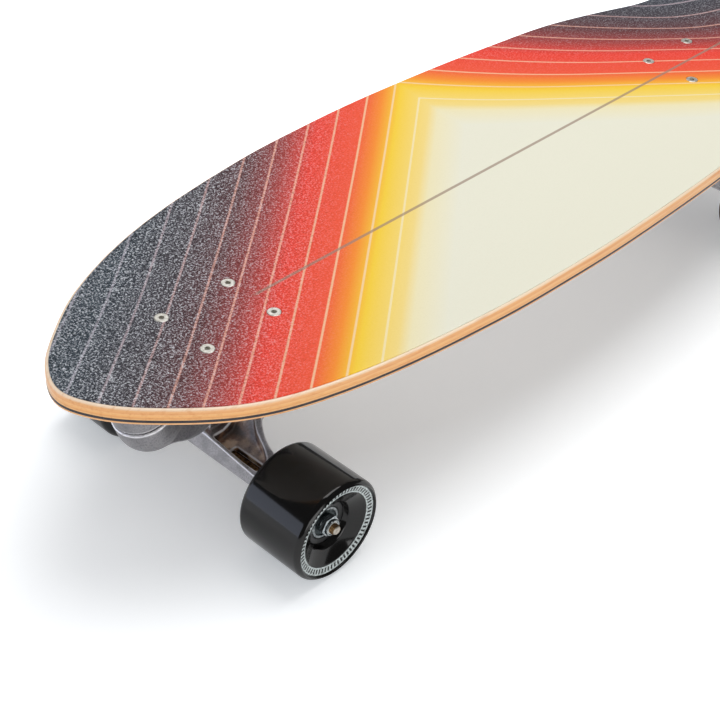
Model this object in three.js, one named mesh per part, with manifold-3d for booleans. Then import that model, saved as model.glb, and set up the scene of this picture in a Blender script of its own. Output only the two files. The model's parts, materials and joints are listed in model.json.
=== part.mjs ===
// Surf skateboard: a laminated maple deck on a swing-arm front truck and a kingpin rear truck.
// Millimetres. +X runs to the nose, +Y to the rider's left and +Z up. The origin is on the floor
// under the middle of the board.
import * as THREE from "three";
import { mergeVertices } from "three/addons/utils/BufferGeometryUtils.js";
import Module from "manifold-3d";

const wasm = await Module();
wasm.setup();

const degree = Math.PI / 180;

// Clearances
const weldDistance = 0.001;
const seatGap = 0.3;
const runningGap = 0.15;
const cutOverrun = 1;

// Deck
const deckLength = 820;
const deckWidth = 245;
const noseOverhang = 120;
const truckSpacing = 508;
const gripThickness = 0.7;
const upperPliesThickness = 7.4;
const darkPlyThickness = 1.7;
const bottomPlyThickness = 1.5;
const glueLine = 0.1;
const deckEdgeRadius = 1.5;
const concaveDepth = 8;
const flatCentreShare = 0.3;
const noseRiseLength = 104;
const noseBendRadius = 440;
const noseAngle = 5 * degree;
const tailRiseDelay = 40;
const tailBendRadius = 150;
const tailAngle = 17 * degree;
const deckTopAboveAxle = 94.7;
const deckRows = 20;
// Rows across the deck, as shares of the local half width
const acrossShares = [-1, -0.66, -0.3, 0.3, 0.66, 1];
// Half outline from the nose tip to the tail: share of the length, share of the half width
const outlineShares = [
  [0, 0],
  [0.012, 0.2],
  [0.04, 0.393],
  [0.085, 0.615],
  [0.14, 0.775],
  [0.21, 0.888],
  [0.3, 0.966],
  [0.37, 0.992],
  [0.45, 1],
  [0.55, 0.979],
  [0.63, 0.945],
  [0.7, 0.905],
  [0.76, 0.83],
  [0.82, 0.73],
  [0.875, 0.64],
  [0.94, 0.56],
  [0.98, 0.47],
  [0.995, 0.27],
  [1, 0],
];

// Bolt pattern shared by the deck and both trucks
const boltPatternLength = 54;
const boltPatternWidth = 41.3;
const screwShankDiameter = 4.8;
const screwHeadDiameter = 9.4;
const screwHeadHeight = 2.6;
const screwSocketAcross = 3.2;
const screwSocketDepth = 1.6;
const screwHoleDiameter = 5.8;
const screwTail = 2;
const screwNutAcross = 8;
const screwNutHeight = 5;

// Wheels
const wheelDiameter = 70;
const wheelWidth = 52;
const treadEdgeRadius = 4;
const lipRise = 0.8;
const printRingDiameter = 63.4;
const printRingWidth = 3.7;
const printRingInset = 1.5;
const coneInset = 6.5;
const coneInnerDiameter = 36.4;
const innerDishDiameter = 46;
const innerDishDepth = 12;
const coreDiameter = 30;
const coreLandDiameter = 17;
const wheelSides = 22;
const coreSides = 10;

// Bearings, one in each face of each core
const bearingDiameter = 22;
const bearingBore = 8;
const bearingWidth = 7;
const bearingSpacing = 10;
const bearingOffset = 2.5;
const bearingRaceWidth = 1.9;
const bearingShieldInset = 0.5;
const bearingSides = 8;

// Axles and their nuts
const axleDiameter = 8;
const axleLength = 229;
const axleEndPastWheelMiddle = 24.5;
const axleChamfer = 1;
const axleNutAcross = 12.7;
const axleNutHeight = 5.2;
const axleNutCollarDiameter = 11.2;
const axleNutCollarHeight = 1.6;
const speedWasherDiameter = 12.4;
const speedWasherThickness = 1;

// Hangers: places are measured from the axle, forward meaning towards the hanger's own pivot
const ringSetback = 34.4;
const ringRise = 18;
const tiltAngle = 23 * degree;
const pivotSpan = 57;
const ringDiameter = 37;
const ringThickness = 9;
const ringHoleDiameter = 19;
const stemDiameter = 16;
const stemEndDiameter = 14;
const pivotNoseDiameter = 13;
const pivotNoseLength = 13;
const pivotNoseReach = 3.2;
const finThickness = 9;
const beamFrontFace = 8;
const beamFaceTop = 6;
const beamFaceCrown = 12.9;
const beamFaceBottom = 4;
const beamHeight = 18;
const webRise = 5;
const bushingRoom = 1;
const shoulderLength = 25.2;
const shoulderDiameter = 15;
const shoulderEndDiameter = 12;
const hangerWall = 5.5;
const hangerFloor = 4.5;
const pocketWall = 3.6;
const castingRounding = 2;
const finRounding = 1;
const wingRounding = 6;
const hangerMouthHalfWidth = 38;
const hangerNeckHalfWidth = 27;
const axleSlotLength = 22;
const axleSlotWidth = 6.5;
const axleSlotInset = 5;

// Kingpins with their bushings and washers
const kingpinDiameter = 9.5;
const kingpinHeadAcross = 15;
const kingpinHeadHeight = 6;
const kingpinNutAcross = 14.3;
const kingpinNutHeight = 7;
const kingpinTail = 2.5;
const bushingDiameter = 24.5;
const upperBushingHeight = 13.4;
const lowerBushingHeight = 12.4;
const lowerBushingEndDiameter = 19;
const bushingWaistShare = 0.93;
const washerThickness = 1.5;
const washerDiameter = 25;
const lowerWasherDiameter = 21;

// Pivot cups
const cupWall = 2.2;
const cupMouth = 5;

// Base plates
const basePlateWidth = 58;
const basePlateThickness = 6;
const basePlateCorner = 9;
const frontPlateTail = 42;
const rearPlateHalfLength = 49;
const rearBlockRounding = 3;
const riserThickness = 15;
const riserBorder = 3;
const riserWindowLength = 30;
const riserWindowWidth = 26;
const gussetThickness = 8;
const gussetRoom = 2.5;

// Swing arm of the front truck, on an axis that leans back from the vertical
const swingTilt = 20 * degree;
const swingAhead = 52;
const swingRise = 55.4;
const bossDiameter = 39;
const partingGap = 0.8;
const bowlRimDiameter = 41;
const bowlDepth = 30;
const bowlAngles = [62, 35, 12];
const bowlCavityDiameter = 25;
const bowlCavityDepth = 16;
const spigotDiameter = 15;
const spigotLength = 8;
const pivotBoltDiameter = 9.5;
const pivotBoltHeadAcross = 15;
const pivotBoltHeadHeight = 5.2;
const pivotNutHeight = 6.5;
const pivotNutSeat = 19;
const pivotNutPocketDiameter = 20;
const gussetRounding = 1;
const armWidth = 33;
const armRoof = 66;
const armFloor = 22.5;
const armLowerRounding = 10;
const armRear = 11.5;
const armCheek = 5;
const armEaseShare = 0.45;
const seatPadDiameter = 30;
const seatPadThickness = 11;
const cupHousingDiameter = 27;

// Return spring round the swing arm's pivot
const springWireDiameter = 2;
const springCoilDiameter = 21;
const springTurns = 3;
const springStepsPerTurn = 8;
const springWireSides = 5;

// Smoothness of the small turned parts
const boltSides = 12;
const nutSides = 6;
const turnedSides = 12;
const shankSides = 8;
const cornerSteps = 2;

// Worked out from the values above
const wheelRadius = wheelDiameter / 2;
const axleHeight = wheelRadius;
const deckTop = axleHeight + deckTopAboveAxle;
const noseX = deckLength / 2;
const frontBoltsX = noseX - noseOverhang;
const rearBoltsX = frontBoltsX - truckSpacing;
const swingBehindNose = 60.8;
const frontAxleAhead = swingBehindNose - swingAhead;
const rearAxleBehind = 12;
const upperPliesDepth = gripThickness + glueLine;
const darkPlyDepth = upperPliesDepth + upperPliesThickness + glueLine;
const bottomPlyDepth = darkPlyDepth + darkPlyThickness + glueLine;
const deckThickness = bottomPlyDepth + bottomPlyThickness;
const deckUnderside = deckTopAboveAxle - deckThickness;
const wheelTrack = axleLength - 2 * axleEndPastWheelMiddle;
const innerBearingFace = wheelTrack / 2 + bearingOffset - bearingSpacing / 2 - bearingWidth;
const outerBearingFace = innerBearingFace + 2 * bearingWidth + bearingSpacing;
const shoulderEnd = innerBearingFace - seatGap;
const beamHalfSpan = shoulderEnd - shoulderLength;
const axleNutSeat = outerBearingFace + speedWasherThickness;
const seatHeight = ringThickness / 2 + seatGap + upperBushingHeight + seatGap + washerThickness + seatGap;

const palette = {
  grip: { color: 0x55585e, roughness: 0.85, metalness: 0 },
  maple: { color: 0xe3b27a, roughness: 0.5, metalness: 0 },
  darkPly: { color: 0x2c2a2a, roughness: 0.55, metalness: 0 },
  zinc: { color: 0xb9bcc0, roughness: 0.35, metalness: 1 },
  steel: { color: 0x9c9fa3, roughness: 0.3, metalness: 1 },
  bronzedSteel: { color: 0x7d6a4f, roughness: 0.4, metalness: 1 },
  castMetal: { color: 0x9a9a9e, roughness: 0.45, metalness: 1 },
  urethane: { color: 0x15130f, roughness: 0.2, metalness: 0 },
  corePlastic: { color: 0x1c1c1d, roughness: 0.45, metalness: 0 },
  bushingUrethane: { color: 0x8e2f2b, roughness: 0.4, metalness: 0 },
  cupPlastic: { color: 0x2b2b2d, roughness: 0.5, metalness: 0 },
  riserPlastic: { color: 0x1f1f21, roughness: 0.6, metalness: 0 },
};

// A closed surface as a solid that can be joined and cut, whichever way its profile ran
function solidOf(geometry) {
  const bare = geometry.index ? geometry.toNonIndexed() : geometry.clone();
  for (const name of Object.keys(bare.attributes)) {
    if (name !== "position") bare.deleteAttribute(name);
  }
  const merged = mergeVertices(bare, weldDistance);
  const corners = merged.index.array;
  const kept = [];
  for (let i = 0; i < corners.length; i += 3) {
    const [a, b, c] = corners.slice(i, i + 3);
    if (a !== b && b !== c && c !== a) kept.push(a, b, c);
  }
  const made = (list) =>
    new wasm.Manifold(
      new wasm.Mesh({
        numProp: 3,
        vertProperties: merged.attributes.position.array,
        triVerts: new Uint32Array(list),
      }),
    );
  const solid = made(kept);
  return solid.volume() < 0 ? made(kept.reverse()) : solid;
}

const joined = (...geometries) => geometries.map(solidOf).reduce((sum, next) => sum.add(next));

// A named mesh with flat facets from a solid
function piece(name, finish, solid) {
  const data = solid.getMesh();
  const places = new Float32Array(data.numVert * 3);
  for (let i = 0; i < data.numVert; i++) {
    places.set(data.vertProperties.subarray(i * data.numProp, i * data.numProp + 3), i * 3);
  }
  const indexed = new THREE.BufferGeometry();
  indexed.setAttribute("position", new THREE.BufferAttribute(places, 3));
  indexed.setIndex(new THREE.BufferAttribute(data.triVerts, 1));
  const geometry = indexed.toNonIndexed();
  geometry.computeVertexNormals();
  const mesh = new THREE.Mesh(geometry, new THREE.MeshStandardMaterial(palette[finish]));
  mesh.name = name;
  return mesh;
}

function groupAt(x, y, z, ...children) {
  const group = new THREE.Group();
  group.position.set(x, y, z);
  group.add(...children);
  return group;
}

// A profile of [radius, height] turned about Z
function turned(profile, sides) {
  const points = profile.map(([radius, height]) => new THREE.Vector2(radius, height));
  return new THREE.LatheGeometry(points, sides).rotateX(Math.PI / 2);
}

// A profile of [radius, place along Y] turned about Y, with a flat facet at the bottom
function turnedAcross(profile, sides) {
  const points = profile.map(([radius, place]) => new THREE.Vector2(radius, place));
  return new THREE.LatheGeometry(points, sides, Math.PI / sides);
}

function rod(diameter, low, high, sides) {
  const made = new THREE.CylinderGeometry(diameter / 2, diameter / 2, high - low, sides);
  return made.rotateX(Math.PI / 2).translate(0, 0, (low + high) / 2);
}

// A six-sided prism from its size across the flats
const hexagon = (across, low, high) => rod(across / Math.cos(Math.PI / nutSides), low, high, nutSides);

// A polygon of [x, y] whose corners are rounded
function roundedShape(points, radius) {
  const shape = new THREE.Shape();
  const corners = points.map(([x, y]) => new THREE.Vector2(x, y));
  corners.forEach((corner, i) => {
    const before = corners[(i + corners.length - 1) % corners.length];
    const after = corners[(i + 1) % corners.length];
    const reach = Math.min(radius, corner.distanceTo(before) / 2.2, corner.distanceTo(after) / 2.2);
    const from = corner.clone().add(before.clone().sub(corner).setLength(reach));
    const to = corner.clone().add(after.clone().sub(corner).setLength(reach));
    if (i === 0) shape.moveTo(from.x, from.y);
    else shape.lineTo(from.x, from.y);
    shape.quadraticCurveTo(corner.x, corner.y, to.x, to.y);
  });
  shape.closePath();
  return shape;
}

// A plan outline of [x, y] standing from one height to another
function plate(points, radius, low, high) {
  const shape = roundedShape(points, radius);
  const settings = { depth: high - low, bevelEnabled: false, curveSegments: cornerSteps };
  const made = new THREE.ExtrudeGeometry(shape, settings);
  return made.translate(0, 0, low);
}

// A side outline of [x, z] given a width across Y, its edges eased by a small radius
function sidePlate(points, radius, width, ease = 0) {
  const outline = roundedShape(points, radius).getPoints(cornerSteps).slice(0, -1);
  if (THREE.ShapeUtils.isClockWise(outline)) outline.reverse();
  const count = outline.length;
  const inward = outline.map((point, i) => {
    const before = outline[(i + count - 1) % count];
    const after = outline[(i + 1) % count];
    const arriving = point.clone().sub(before).normalize();
    const leaving = after.clone().sub(point).normalize();
    const bisector = new THREE.Vector2(-arriving.y - leaving.y, arriving.x + leaving.x);
    return bisector.multiplyScalar(2 / bisector.lengthSq());
  });
  const easedShare = 1 - Math.SQRT1_2;
  const levels = [[0, width / 2]];
  if (ease > 0) {
    levels[0] = [ease, width / 2];
    levels.push([ease * easedShare, width / 2 - ease * easedShare]);
    levels.push([0, width / 2 - ease]);
  }
  for (const [inset, place] of [...levels].reverse()) levels.push([inset, -place]);
  const rings = levels.map(([inset, place]) =>
    outline.map(({ x, y }, i) => new THREE.Vector3(x + inset * inward[i].x, place, y + inset * inward[i].y)),
  );
  const corners = [];
  const cap = THREE.ShapeUtils.triangulateShape(outline, []);
  const last = rings[rings.length - 1];
  for (const [a, b, c] of cap) {
    corners.push(rings[0][a], rings[0][b], rings[0][c]);
    corners.push(last[a], last[c], last[b]);
  }
  for (let k = 0; k + 1 < rings.length; k++) {
    for (let i = 0; i < count; i++) {
      const next = (i + 1) % count;
      const [near, far] = [rings[k], rings[k + 1]];
      corners.push(near[i], far[i], far[next], near[i], far[next], near[next]);
    }
  }
  return new THREE.BufferGeometry().setFromPoints(corners);
}

// A cross outline of [y, z] running from one place along X to another
function lengthPlate(points, radius, from, to) {
  const [x, y, z] = [0, 1, 2].map((i) => new THREE.Vector3().setComponent(i, 1));
  return plate(points, radius, from, to).applyMatrix4(new THREE.Matrix4().makeBasis(y, z, x));
}

const rectangle = (x0, y0, x1, y1) => [
  [x0, y0],
  [x1, y0],
  [x1, y1],
  [x0, y1],
];

// Deck: flat along its centre, it rises to the rails, a little to the nose and steeply up the tail
const tailStartX = rearBoltsX - tailRiseDelay;
const noseStartX = noseX - noseRiseLength;

// Height gained by a run that bends up round a radius until it reaches an angle, then goes straight
function bentRise(run, radius, angle) {
  const turn = Math.min(Math.asin(Math.min(Math.max(run, 0) / radius, 1)), angle);
  const straight = Math.max(run - radius * Math.sin(angle), 0);
  return radius * (1 - Math.cos(turn)) + straight * Math.tan(angle);
}

const noseRise = (x) => bentRise(x - noseStartX, noseBendRadius, noseAngle);
const tailRise = (x) => bentRise(tailStartX - x, tailBendRadius, tailAngle);

function tailSlope(x) {
  const run = Math.max(tailStartX - x, 0);
  return Math.min(Math.asin(Math.min(run / tailBendRadius, 1)), tailAngle);
}

function concaveRise(y) {
  const share = Math.abs(y) / (deckWidth / 2);
  const rise = Math.max(share - flatCentreShare, 0) / (1 - flatCentreShare);
  return concaveDepth * rise * rise;
}

function deckPoint(x, y, depth) {
  const height = deckTop + noseRise(x) + tailRise(x) + concaveRise(y) - depth / Math.cos(tailSlope(x));
  return new THREE.Vector3(x, y, height);
}

// Half outline points from nose to tail, each with the direction that points into the deck
function halfOutline() {
  const place = ([along, across]) =>
    new THREE.Vector2(noseX - along * deckLength, (across * deckWidth) / 2);
  const points = outlineShares.map(place);
  const last = points.length - 1;
  const mirrored = (point) => new THREE.Vector2(point.x, -point.y);
  const curve = new THREE.SplineCurve([mirrored(points[1]), ...points, mirrored(points[last - 1])]);
  const spans = last + 2;
  const rows = [];
  for (let i = 0; i <= deckRows; i++) {
    const t = (1 + (i * last) / deckRows) / spans;
    const point = curve.getPoint(t);
    const tangent = curve.getTangent(t);
    const atTip = i === 0 || i === deckRows;
    rows.push({ point, inward: new THREE.Vector2(-tangent.y, atTip ? 0 : tangent.x) });
  }
  return rows;
}

const outlineRows = halfOutline();

// One sheet of the deck, its upper edge eased by a small radius
function deckSheet(depth, thickness, easeTop, easeBottom) {
  const rings = [];
  const ring = (inset, ringDepth) => {
    const sideAt = (side) =>
      outlineRows.map(({ point, inward }) =>
        deckPoint(point.x + inward.x * inset, side * Math.max(point.y + inward.y * inset, 0), ringDepth),
      );
    rings.push([sideAt(1), sideAt(-1)]);
  };
  const easedShare = 1 - Math.SQRT1_2;
  if (easeTop > 0) {
    ring(easeTop, depth);
    ring(easeTop * easedShare, depth + easeTop * easedShare);
  }
  ring(0, depth + easeTop);
  ring(0, depth + thickness - easeBottom);
  if (easeBottom > 0) ring(easeBottom, depth + thickness);
  const corners = [];
  const quad = (a, b, c, d) => corners.push(a, b, c, a, c, d);
  const faceOf = ([left, right], faceDepth, up) => {
    const rowAt = (i) =>
      acrossShares.map((share) => {
        if (share === 1) return left[i];
        if (share === -1) return right[i];
        return deckPoint(left[i].x, share * left[i].y, faceDepth);
      });
    for (let i = 0; i + 1 < left.length; i++) {
      const near = rowAt(i);
      const next = rowAt(i + 1);
      for (let j = 0; j + 1 < near.length; j++) {
        if (up) quad(near[j], near[j + 1], next[j + 1], next[j]);
        else quad(near[j], next[j], next[j + 1], near[j + 1]);
      }
    }
  };
  faceOf(rings[0], depth, true);
  faceOf(rings[rings.length - 1], depth + thickness, false);
  for (let k = 0; k + 1 < rings.length; k++) {
    for (const side of [0, 1]) {
      const upper = rings[k][side];
      const lower = rings[k + 1][side];
      for (let i = 0; i + 1 < upper.length; i++) {
        if (side === 0) quad(upper[i], lower[i], lower[i + 1], upper[i + 1]);
        else quad(upper[i], upper[i + 1], lower[i + 1], lower[i]);
      }
    }
  }
  const geometry = new THREE.BufferGeometry().setFromPoints(corners);
  return solidOf(geometry);
}

const boltPlaces = [];
for (const centre of [frontBoltsX, rearBoltsX]) {
  for (const along of [1, -1]) {
    for (const across of [1, -1]) {
      boltPlaces.push([centre + (along * boltPatternLength) / 2, (across * boltPatternWidth) / 2]);
    }
  }
}

function drilled(sheet) {
  const headTop = screwHeadDiameter / 2 + 2 * runningGap;
  const bore = screwHoleDiameter / 2;
  let cut = sheet;
  for (const [x, y] of boltPlaces) {
    const top = deckTop + noseRise(x) + concaveRise(y) + cutOverrun;
    const cutter = turned(
      [
        [0, top],
        [headTop + cutOverrun, top],
        [headTop, top - cutOverrun],
        [bore, top - cutOverrun - screwHeadHeight - runningGap],
        [bore, top - deckThickness - 3 * cutOverrun],
        [0, top - deckThickness - 3 * cutOverrun],
      ],
      shankSides,
    ).translate(x, y, 0);
    cut = cut.subtract(solidOf(cutter));
  }
  return cut;
}

const deck = new THREE.Group();
deck.add(
  piece("grip_sheet", "grip", drilled(deckSheet(0, gripThickness, 0, 0))),
  piece(
    "deck_upper_plies",
    "maple",
    drilled(deckSheet(upperPliesDepth, upperPliesThickness, deckEdgeRadius, 0)),
  ),
  piece("deck_dark_ply", "darkPly", drilled(deckSheet(darkPlyDepth, darkPlyThickness, 0, 0))),
  piece(
    "deck_bottom_ply",
    "maple",
    drilled(deckSheet(bottomPlyDepth, bottomPlyThickness, 0, bottomPlyThickness / 2)),
  ),
);

// Countersunk deck screw with its locknut, hung from the deck's top face
function deckScrew(name, gripLength) {
  const headRadius = screwHeadDiameter / 2;
  const shankRadius = screwShankDiameter / 2;
  const nutTop = -gripLength - seatGap;
  const tip = nutTop - screwNutHeight - screwTail;
  const body = turned(
    [
      [0, 0],
      [headRadius, 0],
      [shankRadius, -screwHeadHeight],
      [shankRadius, tip],
      [0, tip],
    ],
    shankSides,
  );
  const nut = hexagon(screwNutAcross, nutTop - screwNutHeight, nutTop);
  const socket = hexagon(screwSocketAcross, -screwSocketDepth, cutOverrun);
  return piece(name, "zinc", joined(body, nut).subtract(solidOf(socket)));
}

const screws = new THREE.Group();
boltPlaces.forEach(([x, y], i) => {
  const front = i < 4;
  const stack = deckThickness + seatGap + basePlateThickness + (front ? 0 : riserThickness + seatGap);
  const name = (front ? "front" : "rear") + "_deck_screw_" + ((i % 4) + 1);
  screws.add(groupAt(x, y, deckTop + noseRise(x) + concaveRise(y), deckScrew(name, stack)));
});

// Hanger frame: x forward to the pivot, origin on the axle. A place is measured from the middle of
// the ring, along the tilt axis and square to it.
const tiltAlong = new THREE.Vector3(Math.cos(tiltAngle), 0, Math.sin(tiltAngle));
const tiltUp = new THREE.Vector3(-Math.sin(tiltAngle), 0, Math.cos(tiltAngle));

function fromRing(along, up) {
  const x = -ringSetback + along * tiltAlong.x + up * tiltUp.x;
  const z = ringRise + along * tiltAlong.z + up * tiltUp.z;
  return [x, z];
}

// Moves a shape turned about Z so that its axis is the kingpin's, or the tilt axis
const onKingpin = (geometry) => geometry.rotateY(-tiltAngle).translate(-ringSetback, 0, ringRise);
const onTiltAxis = (geometry) =>
  geometry.rotateY(Math.PI / 2 - tiltAngle).translate(-ringSetback, 0, ringRise);

function hanger(name) {
  const beamTop = beamHeight / 2;
  const halfRing = ringThickness / 2;
  const wallAhead = bushingDiameter / 2 + bushingRoom;
  const side = [
    [beamFrontFace, -beamFaceBottom],
    [beamFrontFace, beamFaceTop],
    [beamFrontFace - (beamTop - beamFaceTop), beamTop],
    [-beamFrontFace, beamTop + webRise],
    fromRing(ringDiameter * 0.4, halfRing * 0.7),
    fromRing(0, halfRing),
    fromRing(0, -halfRing),
    fromRing(wallAhead, -halfRing),
    fromRing(wallAhead, -ringRise * 1.35),
    [-beamFrontFace * 0.6, -beamTop * 0.95],
    [beamFrontFace * 0.4, -beamTop],
  ];
  const plan = [
    [beamFrontFace + cutOverrun, -beamHalfSpan],
    [beamFrontFace + cutOverrun, beamHalfSpan],
    [-beamFrontFace, beamHalfSpan],
    [-ringSetback * 0.37, hangerMouthHalfWidth],
    [-ringSetback * 0.58, hangerNeckHalfWidth],
    [-ringSetback, ringDiameter / 2],
    [-ringSetback - ringDiameter / 2, ringDiameter * 0.22],
    [-ringSetback - ringDiameter / 2, -ringDiameter * 0.22],
    [-ringSetback, -ringDiameter / 2],
    [-ringSetback * 0.58, -hangerNeckHalfWidth],
    [-ringSetback * 0.37, -hangerMouthHalfWidth],
    [-beamFrontFace, -beamHalfSpan],
  ];
  const body = solidOf(sidePlate(side, castingRounding, 2 * beamHalfSpan + 2 * cutOverrun)).intersect(
    solidOf(plate(plan, wingRounding, -beamHeight, ringDiameter + beamHeight)),
  );
  const wall = [
    [beamFrontFace, -beamFaceBottom],
    [beamFrontFace, beamFaceCrown],
    [beamFrontFace - hangerWall, beamFaceCrown + hangerWall * 0.3],
    [-beamFrontFace, beamFaceCrown],
    [-beamFrontFace, -beamTop * 0.9],
    [beamFrontFace * 0.4, -beamTop],
  ];
  const wallFront = [
    [-beamHalfSpan, -beamHeight],
    [beamHalfSpan, -beamHeight],
    [beamHalfSpan, beamFaceTop],
    [finThickness / 2, beamFaceCrown],
    [-finThickness / 2, beamFaceCrown],
    [-beamHalfSpan, beamFaceTop],
  ];
  const frontWall = solidOf(sidePlate(wall, castingRounding, 2 * beamHalfSpan)).intersect(
    solidOf(
      lengthPlate(wallFront, castingRounding, -beamFrontFace - cutOverrun, beamFrontFace + cutOverrun),
    ),
  );
  const ring = onKingpin(rod(ringDiameter, -halfRing, halfRing, turnedSides));
  const noseRadius = pivotNoseDiameter / 2;
  const stemEnd = pivotSpan - pivotNoseLength;
  const stem = onTiltAxis(
    turned(
      [
        [0, ringDiameter / 2 - hangerWall],
        [stemDiameter / 2, ringDiameter / 2 - hangerWall],
        [stemEndDiameter / 2, stemEnd],
        [noseRadius, stemEnd],
        [noseRadius, pivotSpan],
        [noseRadius * 0.62, pivotSpan + pivotNoseReach],
        [0, pivotSpan + pivotNoseReach],
      ],
      turnedSides,
    ),
  );
  const finOutline = [
    [beamFrontFace * 0.4, 0],
    fromRing(stemEnd * 0.93, 0),
    fromRing(wallAhead + hangerWall, 0),
    fromRing(wallAhead, -ringRise * 1.3),
  ];
  const fin = sidePlate(finOutline, finRounding, finThickness);
  const shoulders = turnedAcross(
    [
      [0, -shoulderEnd],
      [shoulderEndDiameter / 2, -shoulderEnd],
      [shoulderDiameter / 2, -beamHalfSpan],
      [shoulderDiameter / 2, beamHalfSpan],
      [shoulderEndDiameter / 2, shoulderEnd],
      [0, shoulderEnd],
    ],
    boltSides,
  );
  let solid = body.add(frontWall).add(joined(ring, stem, fin, shoulders));

  // Pocket behind the beam on each side of the fin, and a slot over the axle
  const pocketFront = -beamFrontFace * 0.05;
  const pocketSide = [
    [pocketFront, hangerFloor],
    [pocketFront, ringRise + ringDiameter],
    fromRing(wallAhead + pocketWall, ringDiameter),
    fromRing(wallAhead + pocketWall, -ringRise),
  ];
  const pocketSlice = solidOf(sidePlate(pocketSide, castingRounding, 2 * beamHalfSpan));
  for (const hand of [1, -1]) {
    const across = (y) => hand * y;
    const pocketBack = -ringSetback;
    const pocket = [
      [beamFrontFace, across(finThickness / 2 + hangerWall)],
      [beamFrontFace, across(beamHalfSpan - 2.6 * hangerWall)],
      [-beamFrontFace, across(beamHalfSpan - 3.2 * hangerWall)],
      [-ringSetback * 0.37, across(hangerMouthHalfWidth - 1.4 * hangerWall)],
      [-ringSetback * 0.58, across(hangerNeckHalfWidth - 1.4 * hangerWall)],
      [pocketBack, across(finThickness / 2 + hangerWall)],
    ];
    const pocketPlan = solidOf(plate(pocket, hangerWall / 2, 0, ringRise + ringDiameter));
    solid = solid.subtract(pocketSlice.intersect(pocketPlan));
    const slotEnd = beamHalfSpan - axleSlotInset;
    const slot = plate(
      rectangle(0, across(slotEnd - axleSlotLength), axleSlotWidth, across(slotEnd)),
      axleSlotWidth / 3,
      axleDiameter / 4,
      beamHeight,
    );
    slot.translate(-axleSlotWidth * 0.25, 0, 0);
    solid = solid.subtract(solidOf(slot));
  }
  const axleHole = (axleDiameter / 2 + runningGap) / Math.cos(Math.PI / boltSides);
  const bore = turnedAcross(
    [
      [0, -axleLength],
      [axleHole, -axleLength],
      [axleHole, axleLength],
      [0, axleLength],
    ],
    boltSides,
  );
  const ringHole = onKingpin(rod(ringHoleDiameter, -ringDiameter, ringDiameter, turnedSides));
  return piece(name, "castMetal", solid.subtract(solidOf(bore)).subtract(solidOf(ringHole)));
}

function axle(name) {
  const radius = axleDiameter / 2;
  const half = axleLength / 2;
  const profile = [
    [0, -half],
    [radius - axleChamfer, -half],
    [radius, axleChamfer - half],
    [radius, half - axleChamfer],
    [radius - axleChamfer, half],
    [0, half],
  ];
  return piece(name, "bronzedSteel", solidOf(turnedAcross(profile, boltSides)));
}

// Locknut with a round collar and the washer under it, on the left end of the axle
function axleNut(name) {
  const hole = (axleDiameter / 2 + runningGap) / Math.cos(Math.PI / boltSides);
  const bodyTop = axleNutSeat + seatGap + axleNutHeight - axleNutCollarHeight;
  const body = hexagon(axleNutAcross, axleNutSeat + seatGap, bodyTop);
  const collar = rod(axleNutCollarDiameter, axleNutSeat + seatGap, bodyTop + axleNutCollarHeight, boltSides);
  const washer = rod(speedWasherDiameter, outerBearingFace + seatGap, axleNutSeat + 2 * seatGap, boltSides);
  const cut = rod(2 * hole, outerBearingFace, axleLength, boltSides);
  const solid = joined(body, collar, washer).subtract(solidOf(cut));
  const nut = piece(name, "zinc", solid);
  nut.rotation.x = -Math.PI / 2;
  return nut;
}

function kingpinSet(prefix, headSeat) {
  const halfRing = ringThickness / 2;
  const lowerTop = -halfRing - seatGap;
  const lowerEnd = lowerTop - lowerBushingHeight;
  const washerTop = lowerEnd - seatGap;
  const nutTop = washerTop - washerThickness - seatGap;
  const tip = nutTop - kingpinNutHeight - kingpinTail;
  const hole = kingpinDiameter / 2 + seatGap;
  const ringOf = (profile) => solidOf(onKingpin(turned(profile, turnedSides)));
  const pin = joined(
    rod(kingpinDiameter, tip, headSeat + kingpinHeadHeight, boltSides),
    hexagon(kingpinHeadAcross, headSeat + seatGap, headSeat + kingpinHeadHeight),
  );
  const nut = solidOf(hexagon(kingpinNutAcross, nutTop - kingpinNutHeight, nutTop)).subtract(
    solidOf(rod(2 * hole, tip - cutOverrun, nutTop + cutOverrun, boltSides)),
  );
  const upperBottom = halfRing + seatGap;
  const upperTop = upperBottom + upperBushingHeight;
  const radius = bushingDiameter / 2;
  const turnedTo = (solid) => {
    const group = new THREE.Group();
    group.add(solid);
    group.rotation.y = -tiltAngle;
    group.position.set(-ringSetback, 0, ringRise);
    return group;
  };
  return [
    turnedTo(piece(prefix + "_kingpin", "steel", pin)),
    turnedTo(piece(prefix + "_kingpin_nut", "zinc", nut)),
    piece(
      prefix + "_upper_bushing",
      "bushingUrethane",
      ringOf([
        [hole, upperBottom],
        [radius, upperBottom],
        [radius * bushingWaistShare, (upperBottom + upperTop) / 2],
        [radius, upperTop],
        [hole, upperTop],
        [hole, upperBottom],
      ]),
    ),
    piece(
      prefix + "_lower_bushing",
      "bushingUrethane",
      ringOf([
        [hole, lowerEnd],
        [lowerBushingEndDiameter / 2, lowerEnd],
        [radius, lowerTop],
        [hole, lowerTop],
        [hole, lowerEnd],
      ]),
    ),
    piece(
      prefix + "_upper_washer",
      "zinc",
      ringOf([
        [hole, upperTop + seatGap],
        [washerDiameter / 2, upperTop + seatGap],
        [washerDiameter / 2, upperTop + seatGap + washerThickness],
        [hole, upperTop + seatGap + washerThickness],
        [hole, upperTop + seatGap],
      ]),
    ),
    piece(
      prefix + "_lower_washer",
      "zinc",
      ringOf([
        [hole, washerTop - washerThickness],
        [lowerWasherDiameter / 2, washerTop - washerThickness],
        [lowerWasherDiameter / 2, washerTop],
        [hole, washerTop],
        [hole, washerTop - washerThickness],
      ]),
    ),
  ];
}

// Plastic cup that the hanger's nose turns in
const cupInner = pivotNoseDiameter / 2 + seatGap;
const cupOuter = cupInner + cupWall;
const cupEnd = pivotSpan + pivotNoseReach + seatGap + cupWall;

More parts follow.
